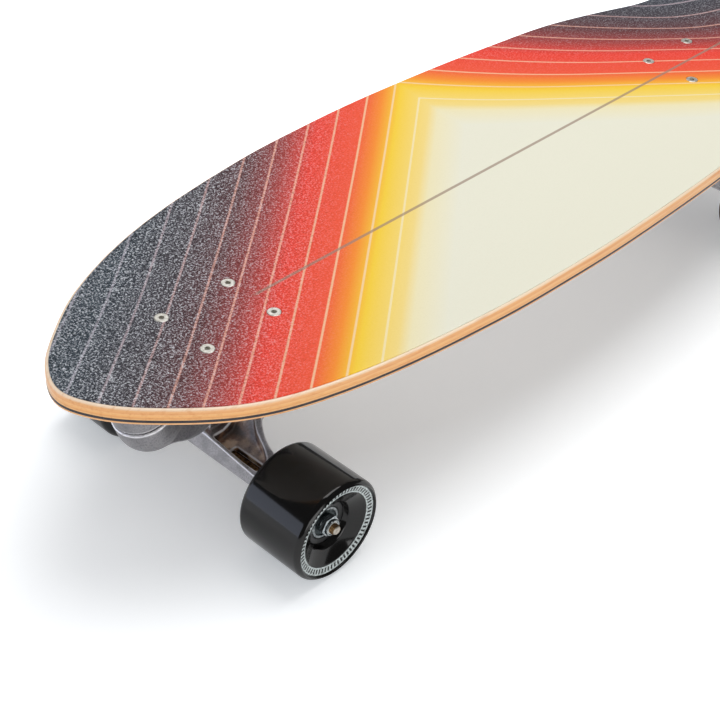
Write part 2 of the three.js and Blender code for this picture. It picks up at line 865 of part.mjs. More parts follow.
function pivotCup(name) {
  const profile = [
    [cupInner, pivotSpan - cupMouth],
    [cupOuter, pivotSpan - cupMouth],
    [cupOuter, cupEnd],
    [0, cupEnd],
    [0, cupEnd - cupWall],
    [cupInner, cupEnd - cupWall],
    [cupInner, pivotSpan - cupMouth],
  ];
  return piece(name, "cupPlastic", solidOf(onTiltAxis(turned(profile, turnedSides))));
}

const cupHole = () =>
  solidOf(
    onTiltAxis(rod(2 * (cupOuter + seatGap), pivotSpan / 2, cupEnd + seatGap, turnedSides)),
  );

function hangerGroup(prefix) {
  const group = new THREE.Group();
  const turnRight = new THREE.Group();
  turnRight.rotation.z = Math.PI;
  const forwardIsNose = prefix === "front";
  const sideName = (left) => (left === forwardIsNose ? "left" : "right");
  group.add(hanger(prefix + "_hanger"), axle(prefix + "_axle"));
  group.add(axleNut(prefix + "_" + sideName(true) + "_axle_nut"));
  turnRight.add(axleNut(prefix + "_" + sideName(false) + "_axle_nut"));
  group.add(turnRight);
  return group;
}

// Swing arm axis: a height of 0 is the parting plane between base plate and arm
const onSwingAxis = (geometry) => geometry.rotateY(swingTilt).translate(swingAhead, 0, swingRise);

function swingPlace(height) {
  const x = swingAhead + height * Math.sin(swingTilt);
  const z = swingRise + height * Math.cos(swingTilt);
  return [x, z];
}

const plateTop = deckUnderside - seatGap;
const plateBottom = plateTop - basePlateThickness;

function boltHoles(centre, low, high) {
  const cutters = [];
  for (const along of [1, -1]) {
    for (const across of [1, -1]) {
      const x = centre + (along * boltPatternLength) / 2;
      const y = (across * boltPatternWidth) / 2;
      const cutter = rod(screwHoleDiameter, low - cutOverrun, high + cutOverrun, shankSides);
      cutters.push(cutter.translate(x, y, 0));
    }
  }
  return joined(...cutters);
}

const aboveCut = (height) =>
  solidOf(new THREE.BoxGeometry(deckWidth, deckWidth, deckWidth).translate(0, 0, height + deckWidth / 2));

function frontBasePlate() {
  const boltsX = -frontAxleAhead;
  const [bossX] = swingPlace((plateTop - swingRise) / Math.cos(swingTilt));
  const bossRadius = bossDiameter / 2;
  const bossReach = bossRadius / Math.cos(swingTilt);
  const half = basePlateWidth / 2;
  const outline = [
    [boltsX - frontPlateTail, -half],
    [boltsX - frontPlateTail, half],
    [boltsX + frontPlateTail, half],
    [bossX + bossReach * 0.4, bossReach],
    [bossX + bossReach, bossReach * 0.45],
    [bossX + bossReach, -bossReach * 0.45],
    [bossX + bossReach * 0.4, -bossReach],
    [boltsX + frontPlateTail, -half],
  ];
  const sheet = plate(outline, basePlateCorner, plateBottom, plateTop);
  const bossTop = (plateTop - swingRise) / Math.cos(swingTilt) + bossRadius;
  const boss = onSwingAxis(
    turned(
      [
        [0, -spigotLength],
        [spigotDiameter / 2, -spigotLength],
        [spigotDiameter / 2, partingGap],
        [bossRadius, partingGap],
        [bossRadius, bossTop],
        [0, bossTop],
      ],
      turnedSides,
    ),
  );
  const gusset = sidePlate(
    [
      [boltsX + boltPatternLength / 2, plateBottom + cutOverrun],
      [swingAhead, plateBottom + cutOverrun],
      [swingAhead, armRoof + gussetRoom],
      [swingAhead - bossRadius, armRoof + gussetRoom],
    ],
    gussetRounding,
    gussetThickness,
  );
  const boltBore = onSwingAxis(
    rod(pivotBoltDiameter + 2 * seatGap, -deckWidth, deckWidth, boltSides),
  );
  const nutPocket = onSwingAxis(rod(pivotNutPocketDiameter, pivotNutSeat, deckWidth, boltSides));
  const solid = joined(sheet, boss, gusset)
    .subtract(aboveCut(plateTop))
    .subtract(solidOf(boltBore))
    .subtract(solidOf(nutPocket))
    .subtract(boltHoles(boltsX, plateBottom, plateTop));
  return piece("front_base_plate", "castMetal", solid);
}

function swingArm() {
  const rim = bowlRimDiameter / 2;
  const bowl = onSwingAxis(
    turned(
      [
        [0, -bowlDepth],
        ...bowlAngles.map((angle) => [
          rim * Math.cos(angle * degree),
          -bowlDepth / 3 - ((2 * bowlDepth) / 3) * Math.sin(angle * degree),
        ]),
        [rim, 0],
        [0, 0],
      ],
      turnedSides,
    ),
  );
  const padRadius = seatPadDiameter / 2;
  const [cupBackX] = fromRing(cupEnd + cupWall, 0);
  const body = [
    [swingAhead, swingRise - bowlDepth * 0.7],
    [swingAhead * 0.8, armFloor + armCheek * 1.9],
    [armRear + armCheek * 2, armFloor],
    [armRear, armFloor + armCheek * 1.6],
    [armRear, swingRise * 0.72],
    fromRing(pivotSpan * 0.66, stemDiameter * 0.7),
    fromRing(padRadius, seatHeight),
    fromRing(-padRadius, seatHeight),
    fromRing(-padRadius, seatHeight + seatPadThickness),
    fromRing(padRadius * 0.9, seatHeight + seatPadThickness),
    [armRear * 0.3, armRoof - armCheek],
    [cupBackX, armRoof],
    [swingAhead - rim * 0.7, swingRise + armCheek],
    [swingAhead, swingRise - armCheek],
  ];
  const rear = -ringSetback - 2 * padRadius;
  const plan = [
    [swingAhead + rim, -armWidth],
    [swingAhead + rim, armWidth],
    [-ringSetback, armWidth],
    [-ringSetback, armWidth / 2],
    [rear + padRadius * 0.3, padRadius * 0.8],
    [rear, 0],
    [rear + padRadius * 0.3, -padRadius * 0.8],
    [-ringSetback, -armWidth / 2],
    [-ringSetback, -armWidth],
  ];
  const section = [
    [-armWidth / 2, armFloor],
    [armWidth / 2, armFloor],
    [armWidth / 2, 2 * armRoof],
    [-armWidth / 2, 2 * armRoof],
  ];
  const block = solidOf(sidePlate(body, armCheek, armWidth))
    .intersect(solidOf(plate(plan, 0, -bowlDepth, 2 * armRoof)))
    .intersect(solidOf(lengthPlate(section, armLowerRounding, rear - armCheek, swingAhead + rim)));
  const rimRoom = onSwingAxis(
    turned(
      [
        [0, 0],
        [rim + seatGap, 0],
        [rim + seatGap, 2 * rim],
        [0, 2 * rim],
      ],
      turnedSides,
    ),
  );
  const cavity = onSwingAxis(rod(bowlCavityDiameter, -bowlCavityDepth, 2 * rim, turnedSides));
  const boltBore = onSwingAxis(rod(pivotBoltDiameter + 2 * seatGap, -2 * bowlDepth, bowlDepth, boltSides));
  const headRoom = pivotBoltHeadHeight + 2 * seatGap;
  const headRecess = onSwingAxis(
    rod(pivotBoltHeadAcross * 1.25, -2 * bowlDepth, headRoom - bowlDepth, boltSides),
  );
  const kingpinBore = onKingpin(rod(kingpinDiameter + 2 * seatGap, -ringDiameter, 2 * bowlDepth, boltSides));
  const kingpinRecess = onKingpin(
    rod(
      kingpinHeadAcross * 1.22,
      seatHeight + seatPadThickness - kingpinHeadHeight,
      seatHeight + 3 * seatPadThickness,
      boltSides,
    ),
  );
  const solid = block
    .add(solidOf(bowl))
    .subtract(solidOf(rimRoom))
    .subtract(solidOf(cavity))
    .subtract(solidOf(boltBore))
    .subtract(solidOf(headRecess))
    .subtract(cupHole())
    .subtract(solidOf(kingpinBore))
    .subtract(solidOf(kingpinRecess));
  return piece("front_swing_arm", "castMetal", solid);
}

function turnedToSwing(...pieces) {
  const group = new THREE.Group();
  group.add(...pieces);
  group.rotation.y = swingTilt;
  group.position.set(swingAhead, 0, swingRise);
  return group;
}

function swingPivotParts() {
  const headLow = seatGap - bowlDepth;
  const headHigh = headLow + pivotBoltHeadHeight;
  const nutLow = pivotNutSeat + seatGap;
  const bolt = joined(
    rod(pivotBoltDiameter, headLow, nutLow + pivotNutHeight, boltSides),
    hexagon(pivotBoltHeadAcross, headLow, headHigh),
  );
  const hole = pivotBoltDiameter / 2 + seatGap;
  const nut = solidOf(hexagon(pivotBoltHeadAcross, nutLow, nutLow + pivotNutHeight)).subtract(
    solidOf(rod(2 * hole, nutLow - cutOverrun, 2 * nutLow, boltSides)),
  );
  const bearingTop = -spigotLength - seatGap;
  const bearingLow = seatGap - bowlCavityDepth;
  const raceHeight = (bearingTop - bearingLow) / 3;
  const raceRadius = spigotDiameter / 2;
  const groove = raceRadius - (raceRadius - hole) * 0.2;
  const bearing = turned(
    [
      [hole, bearingLow],
      [raceRadius, bearingLow],
      [raceRadius, bearingLow + raceHeight],
      [groove, bearingLow + raceHeight],
      [groove, bearingTop - raceHeight],
      [raceRadius, bearingTop - raceHeight],
      [raceRadius, bearingTop],
      [hole, bearingTop],
      [hole, bearingLow],
    ],
    turnedSides,
  );
  return turnedToSwing(
    piece("front_pivot_bolt", "steel", bolt),
    piece("front_pivot_nut", "zinc", nut),
    piece("front_thrust_bearing", "steel", solidOf(bearing)),
    piece("front_return_spring", "steel", returnSpring(bearingLow)),
  );
}

// One unbroken wire wound in even turns, with flat ends
function returnSpring(low) {
  const wireRadius = springWireDiameter / 2;
  const pitch = (-low - springWireDiameter) / springTurns;
  const coilRadius = springCoilDiameter / 2;
  const steps = springStepsPerTurn * springTurns;
  const rings = [];
  for (let i = 0; i <= steps; i++) {
    const angle = (i / springStepsPerTurn) * 2 * Math.PI;
    const height = low + wireRadius + (i / springStepsPerTurn) * pitch;
    const ring = [];
    for (let k = 0; k < springWireSides; k++) {
      const turn = (k / springWireSides) * 2 * Math.PI;
      const radius = coilRadius + wireRadius * Math.cos(turn);
      const lift = height + wireRadius * Math.sin(turn);
      ring.push(new THREE.Vector3(radius * Math.cos(angle), radius * Math.sin(angle), lift));
    }
    rings.push(ring);
  }
  const corners = [];
  for (let i = 0; i < steps; i++) {
    for (let k = 0; k < springWireSides; k++) {
      const next = (k + 1) % springWireSides;
      const [a, b, c, d] = [rings[i][k], rings[i][next], rings[i + 1][next], rings[i + 1][k]];
      corners.push(a, c, b, a, d, c);
    }
  }
  for (let k = 1; k + 1 < springWireSides; k++) {
    corners.push(rings[0][0], rings[0][k], rings[0][k + 1]);
    corners.push(rings[steps][0], rings[steps][k + 1], rings[steps][k]);
  }
  let least = Infinity;
  for (let i = 0; i <= steps; i++) {
    for (let j = i + springStepsPerTurn / 2; j <= steps; j++) {
      for (const a of rings[i]) {
        for (const b of rings[j]) least = Math.min(least, a.distanceTo(b));
      }
    }
  }
  console.log("least gap between the spring's turns: " + least.toFixed(2) + " mm");
  return solidOf(new THREE.BufferGeometry().setFromPoints(corners));
}

function frontTruck() {
  const group = new THREE.Group();
  group.add(frontBasePlate(), swingArm(), swingPivotParts(), pivotCup("front_pivot_cup"));
  group.add(...kingpinSet("front", seatHeight + seatPadThickness - kingpinHeadHeight));
  group.add(hangerGroup("front"));
  return group;
}

function rearTruck() {
  const boltsX = -rearAxleBehind;
  const riserBottom = plateTop - riserThickness;
  const top = riserBottom - seatGap;
  const bottom = top - basePlateThickness;
  const half = basePlateWidth / 2;
  const padRadius = seatPadDiameter / 2;
  const ends = rectangle(boltsX - rearPlateHalfLength, -half, boltsX + rearPlateHalfLength, half);
  const sheet = plate(ends, basePlateCorner, bottom, top);
  const housingRadius = cupHousingDiameter / 2;
  const mouth = pivotSpan - cupMouth;
  const rootTop = bottom + basePlateThickness / 2;
  const [cupBackX] = fromRing(cupEnd + cupWall, -housingRadius);
  const [cupFrontX] = fromRing(mouth, housingRadius);
  const seatBlock = sidePlate(
    [
      fromRing(-padRadius, seatHeight),
      fromRing(padRadius, seatHeight),
      [-beamFrontFace * 2, rootTop],
      [-ringSetback - 1.9 * padRadius, rootTop],
    ],
    rearBlockRounding,
    seatPadDiameter,
    armCheek * armEaseShare * 0.5,
  );
  const cupBlock = sidePlate(
    [
      fromRing(mouth, -housingRadius),
      fromRing(cupEnd + cupWall, -housingRadius),
      [cupBackX, rootTop],
      [cupFrontX, rootTop],
    ],
    rearBlockRounding,
    cupHousingDiameter,
    armCheek * armEaseShare * 0.5,
  );
  const headSeat = (top - ringRise) / Math.cos(tiltAngle) - 2 * kingpinHeadHeight;
  const recess = onKingpin(rod(kingpinHeadAcross * 1.22, headSeat, deckWidth, boltSides));
  const bore = onKingpin(rod(kingpinDiameter + 2 * seatGap, -ringDiameter, deckWidth, boltSides));
  const seatRoom = onKingpin(
    rod(2 * padRadius + 2 * cutOverrun, -ringDiameter, seatHeight, turnedSides),
  );
  const solid = joined(sheet, seatBlock, cupBlock)
    .subtract(aboveCut(top))
    .subtract(solidOf(recess))
    .subtract(solidOf(bore))
    .subtract(solidOf(seatRoom))
    .subtract(cupHole())
    .subtract(boltHoles(boltsX, bottom - cutOverrun, top));
  const riserOutline = rectangle(
    boltsX - rearPlateHalfLength - riserBorder,
    -half - riserBorder,
    boltsX + rearPlateHalfLength + riserBorder,
    half + riserBorder,
  );
  const window = rectangle(
    boltsX - riserWindowLength / 2,
    -riserWindowWidth / 2,
    boltsX + riserWindowLength / 2,
    riserWindowWidth / 2,
  );
  const riser = solidOf(plate(riserOutline, basePlateCorner, riserBottom, plateTop))
    .subtract(solidOf(plate(window, basePlateCorner / 2, riserBottom - cutOverrun, plateTop + cutOverrun)))
    .subtract(boltHoles(boltsX, riserBottom, plateTop));
  const group = new THREE.Group();
  group.add(piece("rear_base_plate", "castMetal", solid));
  group.add(piece("rear_riser_pad", "riserPlastic", riser));
  group.add(pivotCup("rear_pivot_cup"), ...kingpinSet("rear", headSeat), hangerGroup("rear"));
  group.rotation.z = Math.PI;
  return group;
}

// Wheel about its own middle, +Y outwards
function wheel(name) {
  const half = wheelWidth / 2;
  const outer = wheelRadius / Math.cos(Math.PI / wheelSides);
  const coreRadius = coreDiameter / 2;
  const ringOuter = printRingDiameter / 2;
  const ringInner = ringOuter - printRingWidth;
  const coneInner = coneInnerDiameter / 2;
  const face = half - printRingInset;
  const coneEnd = half - coneInset;
  const eased = treadEdgeRadius * (1 - Math.SQRT1_2);
  const coreMiddle = bearingOffset;
  const coreHalf = bearingSpacing / 2 + bearingWidth;
  const coreOuterEnd = coreMiddle + coreHalf + seatGap;
  const coreInnerEnd = coreMiddle - coreHalf - seatGap;
  const dishFloor = innerDishDepth - half;
  const tyre = turnedAcross(
    [
      [coreRadius + seatGap, dishFloor],
      [innerDishDiameter / 2 - treadEdgeRadius, dishFloor],
      [innerDishDiameter / 2, -half],
      [outer - treadEdgeRadius, -half],
      [outer, treadEdgeRadius - half],
      [outer, half - treadEdgeRadius],
      [outer - eased, half - eased],
      [ringOuter + lipRise, half],
      [ringOuter, face],
      [ringInner, face],
      [coneInner, coneEnd],
      [coreRadius + seatGap, coreOuterEnd],
      [coreRadius + seatGap, dishFloor],
    ],
    wheelSides,
  );
  const bearingSeat = (bearingDiameter / 2 + runningGap) / Math.cos(Math.PI / coreSides);
  const land = coreLandDiameter / 2;
  const stop = bearingSpacing / 2;
  const core = turnedAcross(
    [
      [bearingSeat, coreInnerEnd],
      [coreRadius, coreInnerEnd],
      [coreRadius, coreOuterEnd],
      [bearingSeat, coreOuterEnd],
      [bearingSeat, coreMiddle + stop - runningGap],
      [land, coreMiddle + stop - runningGap],
      [land, coreMiddle - stop + runningGap],
      [bearingSeat, coreMiddle - stop + runningGap],
      [bearingSeat, coreInnerEnd],
    ],
    coreSides,
  );
  const bearing = (bearingName, middle) => {
    const race = bearingDiameter / 2;
    const bore = (bearingBore / 2 + 2 * runningGap) / Math.cos(Math.PI / bearingSides);
    const width = bearingWidth / 2;
    const made = turnedAcross(
      [
        [bore, -width],
        [race, -width],
        [race, width],
        [race - bearingRaceWidth, width],
        [race - bearingRaceWidth, width - bearingShieldInset],
        [bore + bearingRaceWidth, width - bearingShieldInset],
        [bore, width],
        [bore, -width],
      ],
      bearingSides,
    );
    if (middle < 0) made.rotateX(Math.PI);
    return piece(bearingName, "steel", solidOf(made.translate(0, middle, 0)));
  };
  const bearingMiddle = stop + bearingWidth / 2;
  const group = new THREE.Group();
  group.add(
    piece(name + "_tyre", "urethane", solidOf(tyre)),
    piece(name + "_core", "corePlastic", solidOf(core)),
    bearing(name + "_outer_bearing", coreMiddle + bearingMiddle),
    bearing(name + "_inner_bearing", coreMiddle - bearingMiddle),
  );
  return group;
}

const board = new THREE.Group();
board.name = "surf_skateboard";
board.add(deck, screws);
const frontAxleX = frontBoltsX + frontAxleAhead;
const rearAxleX = rearBoltsX - rearAxleBehind;
const front = frontTruck();
front.position.set(frontAxleX, 0, axleHeight);
const rear = rearTruck();
rear.position.set(rearAxleX, 0, axleHeight);
board.add(front, rear);
for (const [end, x] of [
  ["front", frontAxleX],
  ["rear", rearAxleX],
]) {
  for (const [hand, side] of [
    ["left", 1],
    ["right", -1],
  ]) {
    const made = wheel(end + "_" + hand + "_wheel");
    made.position.set(x, (side * wheelTrack) / 2, axleHeight);
    made.rotation.z = side > 0 ? 0 : Math.PI;
    board.add(made);
  }
}

export default board;
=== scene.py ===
import json
import math

import bmesh
import bpy
import numpy as np
from mathutils import Matrix, Vector


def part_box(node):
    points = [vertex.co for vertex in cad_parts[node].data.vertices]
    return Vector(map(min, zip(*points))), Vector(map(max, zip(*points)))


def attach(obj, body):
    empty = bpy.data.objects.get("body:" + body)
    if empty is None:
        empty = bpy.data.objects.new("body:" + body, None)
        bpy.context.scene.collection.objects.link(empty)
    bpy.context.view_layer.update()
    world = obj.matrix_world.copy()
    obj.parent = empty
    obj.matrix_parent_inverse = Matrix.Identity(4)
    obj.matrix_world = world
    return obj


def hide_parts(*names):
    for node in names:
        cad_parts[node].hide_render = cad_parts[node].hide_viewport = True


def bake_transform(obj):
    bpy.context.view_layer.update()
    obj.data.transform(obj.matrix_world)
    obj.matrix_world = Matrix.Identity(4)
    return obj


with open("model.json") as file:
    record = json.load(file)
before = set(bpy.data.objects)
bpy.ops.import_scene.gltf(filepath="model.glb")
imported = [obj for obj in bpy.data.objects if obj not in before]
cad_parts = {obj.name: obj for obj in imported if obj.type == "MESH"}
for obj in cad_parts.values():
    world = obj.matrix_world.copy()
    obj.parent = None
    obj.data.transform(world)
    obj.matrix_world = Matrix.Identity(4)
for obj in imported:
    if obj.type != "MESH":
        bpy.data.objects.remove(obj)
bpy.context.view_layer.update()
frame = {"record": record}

# Camera: it stands ahead and to the left of the nose, above the board, and looks down on the deck
# over the front bolts. Its horizon is tipped a little.
mm = 0.001
camera_place = Vector((783.9, 551.5, 676.7)) * mm
camera_aim = Vector((259.2, 89.2, 129.7)) * mm
camera_roll = math.radians(3.57)
lens_data = bpy.data.cameras.new("camera")
lens_data.lens = 75.85
lens_data.sensor_width = 36
lens_data.clip_start = 10 * mm
camera = bpy.data.objects.new("camera", lens_data)
camera.rotation_mode = "QUATERNION"
camera.location = camera_place
straight_look = (camera_aim - camera_place).to_track_quat("-Z", "Y").to_matrix()
camera.rotation_quaternion = (straight_look @ Matrix.Rotation(camera_roll, 3, "Z")).to_quaternion()
bpy.context.scene.collection.objects.link(camera)
bpy.context.scene.camera = camera
bpy.context.scene.view_settings.view_transform = "Standard"


# Studio: a seamless white floor and white walls, lit by a wide soft box overhead and by three weaker
# ones behind, in front and at the left. The board's shadow falls right below it.
def linear(hex_colour):
    """An sRGB hex colour as the linear colour that a socket takes."""
    parts = [int(hex_colour[i : i + 2], 16) / 255 for i in (1, 3, 5)]
    return [p / 12.92 if p <= 0.04045 else ((p + 0.055) / 1.055) ** 2.4 for p in parts] + [1.0]


def add(tree, kind, inputs=(), out=0, stops=(), **settings):
    """Adds a shader node, fills its sockets in order or by name, and gives one of its outputs."""
    node = tree.nodes.new("ShaderNode" + kind)
    for key, value in settings.items():
        setattr(node, key, value)
    for key, value in inputs.items() if isinstance(inputs, dict) else enumerate(inputs):
        if isinstance(value, bpy.types.NodeSocket):
            tree.links.new(value, node.inputs[key])
        else:
            node.inputs[key].default_value = value
    if stops:
        elements = node.color_ramp.elements
        while len(elements) < len(stops):
            elements.new(0.5)
        for element, (share, hex_colour) in zip(elements, stops):
            element.position = share
            element.color = linear(hex_colour)
    return node.outputs[out]


def new_material(name, **sockets):
    """A new material and its node tree, with the even values on its shader's own sockets."""
    made = bpy.data.materials.new(name)
    made.use_nodes = True
    tree = made.node_tree
    for key, value in sockets.items():
        tree.nodes["Principled BSDF"].inputs[key.replace("_", " ")].default_value = value
    return made, tree


def lay(tree, **sockets):
    """Links what varies over a surface to the sockets of its shader."""
    for key, value in sockets.items():
        tree.links.new(value, tree.nodes["Principled BSDF"].inputs[key.replace("_", " ")])


floor_half = 4000 * mm
floor_mesh = bpy.data.meshes.new("floor")
corners = [(-floor_half, -floor_half, 0), (floor_half, -floor_half, 0)]
corners += [(floor_half, floor_half, 0), (-floor_half, floor_half, 0)]
floor_mesh.from_pydata(corners, [], [(0, 1, 2, 3)])
floor = bpy.data.objects.new("floor", floor_mesh)
bpy.context.scene.collection.objects.link(floor)
floor_paint, tree = new_material(
    "matt white floor paint",
    Base_Color=linear("#f7f7f7"),
    Roughness=0.9,
    Specular_IOR_Level=0.1,
    Emission_Color=(0.95, 1.0, 1.04, 1.0),
)
# The paint glows a little, a painted light, and more the further it lies from the board, so that open
# floor burns out to white. Its weak glow close round the board paints the board's shadow darker and
# tighter there. The glow is a little blue, which cancels the warm light that the deck throws into its
# shadow. Glossy parts mirror less of the glow, as they would a dim room. What they mirror there is a
# painted reflection of bright floor.
shadow_half_length = 418
shadow_half_width = 136
mirrored_floor_glow = 0.16
shares = (1 / (shadow_half_length * mm), 1 / (shadow_half_width * mm), 0)
spot = add(tree, "VectorMath", [add(tree, "TexCoord", out="Object"), shares], operation="MULTIPLY")
from_board = add(tree, "VectorMath", [spot], "Value", operation="LENGTH")
# Painted shadow: the glow is weakest close round the board
floor_glow = add(tree, "MapRange", [from_board, 0.6, 3, 0.14, 1.14])
seen = add(tree, "Math", [add(tree, "LightPath", out="Is Camera Ray"), floor_glow], operation="MULTIPLY")
mirrored = add(tree, "MapRange", [add(tree, "LightPath", out="Is Glossy Ray"), 0, 1, 0, mirrored_floor_glow])
lay(tree, Emission_Strength=add(tree, "Math", [mirrored, seen], operation="ADD"))
floor_mesh.materials.append(floor_paint)

# The walls are white to the eye, light the board softly and are mirrored as a dim room
world = bpy.data.worlds.new("white walls")
bpy.context.scene.world = world
world.use_nodes = True
walls = world.node_tree
fill_level = 0.42
mirrored_level = 0.12
glossy = add(walls, "LightPath", out="Is Glossy Ray")
mirrored = add(walls, "MapRange", [glossy, 0, 1, fill_level, mirrored_level])
seen = add(walls, "Math", [mirrored, add(walls, "LightPath", out="Is Camera Ray")], operation="MAXIMUM")
walls.links.new(seen, walls.nodes["Background"].inputs["Strength"])
walls.nodes["Background"].inputs["Color"].default_value = linear("#ffffff")


def soft_box(name, place, aim, width, depth, watts, hex_colour="#ffffff"):
    """A rectangular area lamp that faces a point."""
    data = bpy.data.lights.new(name, "AREA")
    data.color = linear(hex_colour)[:3]
    data.shape = "RECTANGLE"
    data.size = width * mm
    data.size_y = depth * mm
    data.energy = watts
    lamp = bpy.data.objects.new(name, data)
    lamp.location = Vector(place) * mm
    lamp.rotation_mode = "QUATERNION"
    lamp.rotation_quaternion = (Vector(aim) - Vector(place)).to_track_quat("-Z", "Y")
    bpy.context.scene.collection.objects.link(lamp)


soft_box("overhead_box", (-400, -100, 2200), (100, 0, 0), 1500, 1500, 22.8)
soft_box("back_box", (-1200, -1400, 1500), (200, 0, 100), 1700, 1200, 5)
soft_box("front_box", (1500, -900, 350), (300, 0, 50), 1600, 700, 6, "#e0e9ff")
soft_box("left_box", (800, 1600, 450), (250, 0, 80), 1300, 700, 7.5)


# Deck: maple veneers pressed over a form, cut to a rounded surf outline and sanded round at
# the edge. One ply near the bottom is dyed dark. The top is a printed sheet under clear grit.
deck_low, deck_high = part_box("deck_upper_plies")
deck_length = deck_high.x - deck_low.x
half_width = deck_high.y
deck_top = 129.7 * mm
grip_thickness = 0.7 * mm
upper_thickness = 7.4 * mm
dark_thickness = 1.7 * mm
bottom_thickness = 1.5 * mm
glue_line = 0.1 * mm
edge_radius = 2.5 * mm
grip_setback = 2.3 * mm
concave_depth = 8 * mm
flat_centre_share = 0.3
nose_rise_length = 104 * mm
nose_bend_radius = 440 * mm
nose_angle = math.radians(5)
tail_start = -258 * mm
tail_bend_radius = 150 * mm
tail_angle = math.radians(17)
outline_shares = [
    (0, 0), (0.012, 0.2), (0.04, 0.393), (0.085, 0.615), (0.14, 0.775), (0.21, 0.888), (0.3, 0.966),
    (0.37, 0.992), (0.45, 1), (0.55, 0.979), (0.63, 0.945), (0.7, 0.905), (0.76, 0.83), (0.82, 0.73),
    (0.875, 0.64), (0.94, 0.56), (0.98, 0.47), (0.995, 0.27), (1, 0),
]
steps_per_span = 9
columns_across = 28


def bent_rise(run, radius, angle):
    """Height gained by a run that bends up round a radius to an angle, then goes straight."""
    turn = min(math.asin(min(max(run, 0) / radius, 1)), angle)
    straight = max(run - radius * math.sin(angle), 0)
    return radius * (1 - math.cos(turn)) + straight * math.tan(angle)


def deck_height(x, y, depth):
    """Height of the deck at a place, a little below its top face."""
    nose = bent_rise(x - (deck_high.x - nose_rise_length), nose_bend_radius, nose_angle)
    tail_run = max(tail_start - x, 0)
    tail = bent_rise(tail_run, tail_bend_radius, tail_angle)
    slope = min(math.asin(min(tail_run / tail_bend_radius, 1)), tail_angle)
    beyond = max(abs(y) / half_width - flat_centre_share, 0) / (1 - flat_centre_share)
    return deck_top + nose + tail + concave_depth * beyond**2 - depth / math.cos(slope)


def smooth_outline():
    """Places from nose to tail along one rail, each with the direction that points inwards."""
    knots = [(deck_high.x - along * deck_length, across * half_width) for along, across in outline_shares]
    knots = [(knots[1][0], -knots[1][1])] + knots + [(knots[-2][0], -knots[-2][1])]
    knots = np.array(knots)
    rows = []
    last = len(knots) - 4
    for i in range(last + 1):
        before, here, after, beyond = knots[i : i + 4]
        for k in range(steps_per_span + (i == last)):
            t = k / steps_per_span
            leave, arrive = (after - before) / 2, (beyond - here) / 2
            bend = 2 * here - 2 * after + leave + arrive
            swell = -3 * here + 3 * after - 2 * leave - arrive
            place = ((bend * t + swell) * t + leave) * t + here
            heading = (3 * bend * t + 2 * swell) * t + leave
            heading /= np.linalg.norm(heading)
            rows.append((place, (-heading[1], heading[0])))
    return rows


rails = smooth_outline()


def piece_from(name, places, faces, sharp_degrees=35, uv=None):
    """A new object from points in metres, its doubles merged and its faces turned out."""
    mesh = bpy.data.meshes.new(name)
    mesh.from_pydata([tuple(p) for p in places], [], faces)
    if uv is not None:
        layer = mesh.uv_layers.new(name="surface")
        for loop in mesh.loops:
            layer.data[loop.index].uv = uv[loop.vertex_index]
    work = bmesh.new()
    work.from_mesh(mesh)
    bmesh.ops.remove_doubles(work, verts=work.verts, dist=0.002 * mm)
    bmesh.ops.recalc_face_normals(work, faces=work.faces)
    work.to_mesh(mesh)
    work.free()
    mesh.shade_smooth()
    mesh.set_sharp_from_angle(angle=math.radians(sharp_degrees))
    made = bpy.data.objects.new(name, mesh)
    bpy.context.scene.collection.objects.link(made)
    return made


def deck_sheet(name, depth, thickness, ease_top, ease_bottom, setback=0):
    """One layer of the deck as a closed skin, with round edges where they are eased."""
    arc_steps = 5
    rings = []
    for k in range(arc_steps + 1 if ease_top else 1):
        turn = k / arc_steps * math.pi / 2
        rings.append((ease_top * (1 - math.sin(turn)), depth + ease_top * (1 - math.cos(turn))))
    for k in range(arc_steps + 1 if ease_bottom else 1):
        turn = k / arc_steps * math.pi / 2
        inset = ease_bottom * (1 - math.cos(turn))
        rings.append((inset, depth + thickness - ease_bottom * (1 - math.sin(turn))))
    rings = [(setback + inset, ring_depth) for inset, ring_depth in rings]
    places, uv, faces = [], [], []

    def line(side, inset, ring_depth):
        start = len(places)
        for place, inward in rails:
            x = place[0] + inward[0] * inset
            y = side * max(place[1] + inward[1] * inset, 0)
            places.append((x, y, deck_height(x, y, ring_depth)))
            uv.append((x, ring_depth))
        return start

    def skin_over(starts):
        for one, other in zip(starts, starts[1:]):
            for i in range(len(rails) - 1):
                faces.append((one + i, one + i + 1, other + i + 1, other + i))

    for side in (1, -1):
        skin_over([line(side, *ring) for ring in rings])
    for ring in (rings[0], rings[-1]):
        skin_over([line(2 * j / columns_across - 1, *ring) for j in range(columns_across + 1)])
    return piece_from(name, places, faces, 40, uv)


def settled(piece):
    """Takes a piece's modifiers into its mesh."""
    bpy.context.view_layer.update()
    graph = bpy.context.evaluated_depsgraph_get()
    baked = bpy.data.meshes.new_from_object(piece.evaluated_get(graph))
    piece.modifiers.clear()
    piece.data = baked
    return piece


def lathe(name, profile, matrix, sides=64, sharp_degrees=35):
    """A profile of (radius, height) in millimetres turned about the Z axis of a matrix. One that
    starts off the axis is closed to a ring."""
    if profile[0][0]:
        profile = profile + profile[:1]
    places, faces = [], []
    count = len(profile)
    for i in range(sides):
        turn = 2 * math.pi * i / sides
        for radius, height in profile:
            local = Vector((radius * math.cos(turn), radius * math.sin(turn), height)) * mm
            places.append(matrix @ local)
    for i in range(sides):
        near, far = i * count, ((i + 1) % sides) * count
        for k in range(count - 1):
            faces.append((near + k, far + k, far + k + 1, near + k + 1))
    return piece_from(name, places, faces, sharp_degrees)


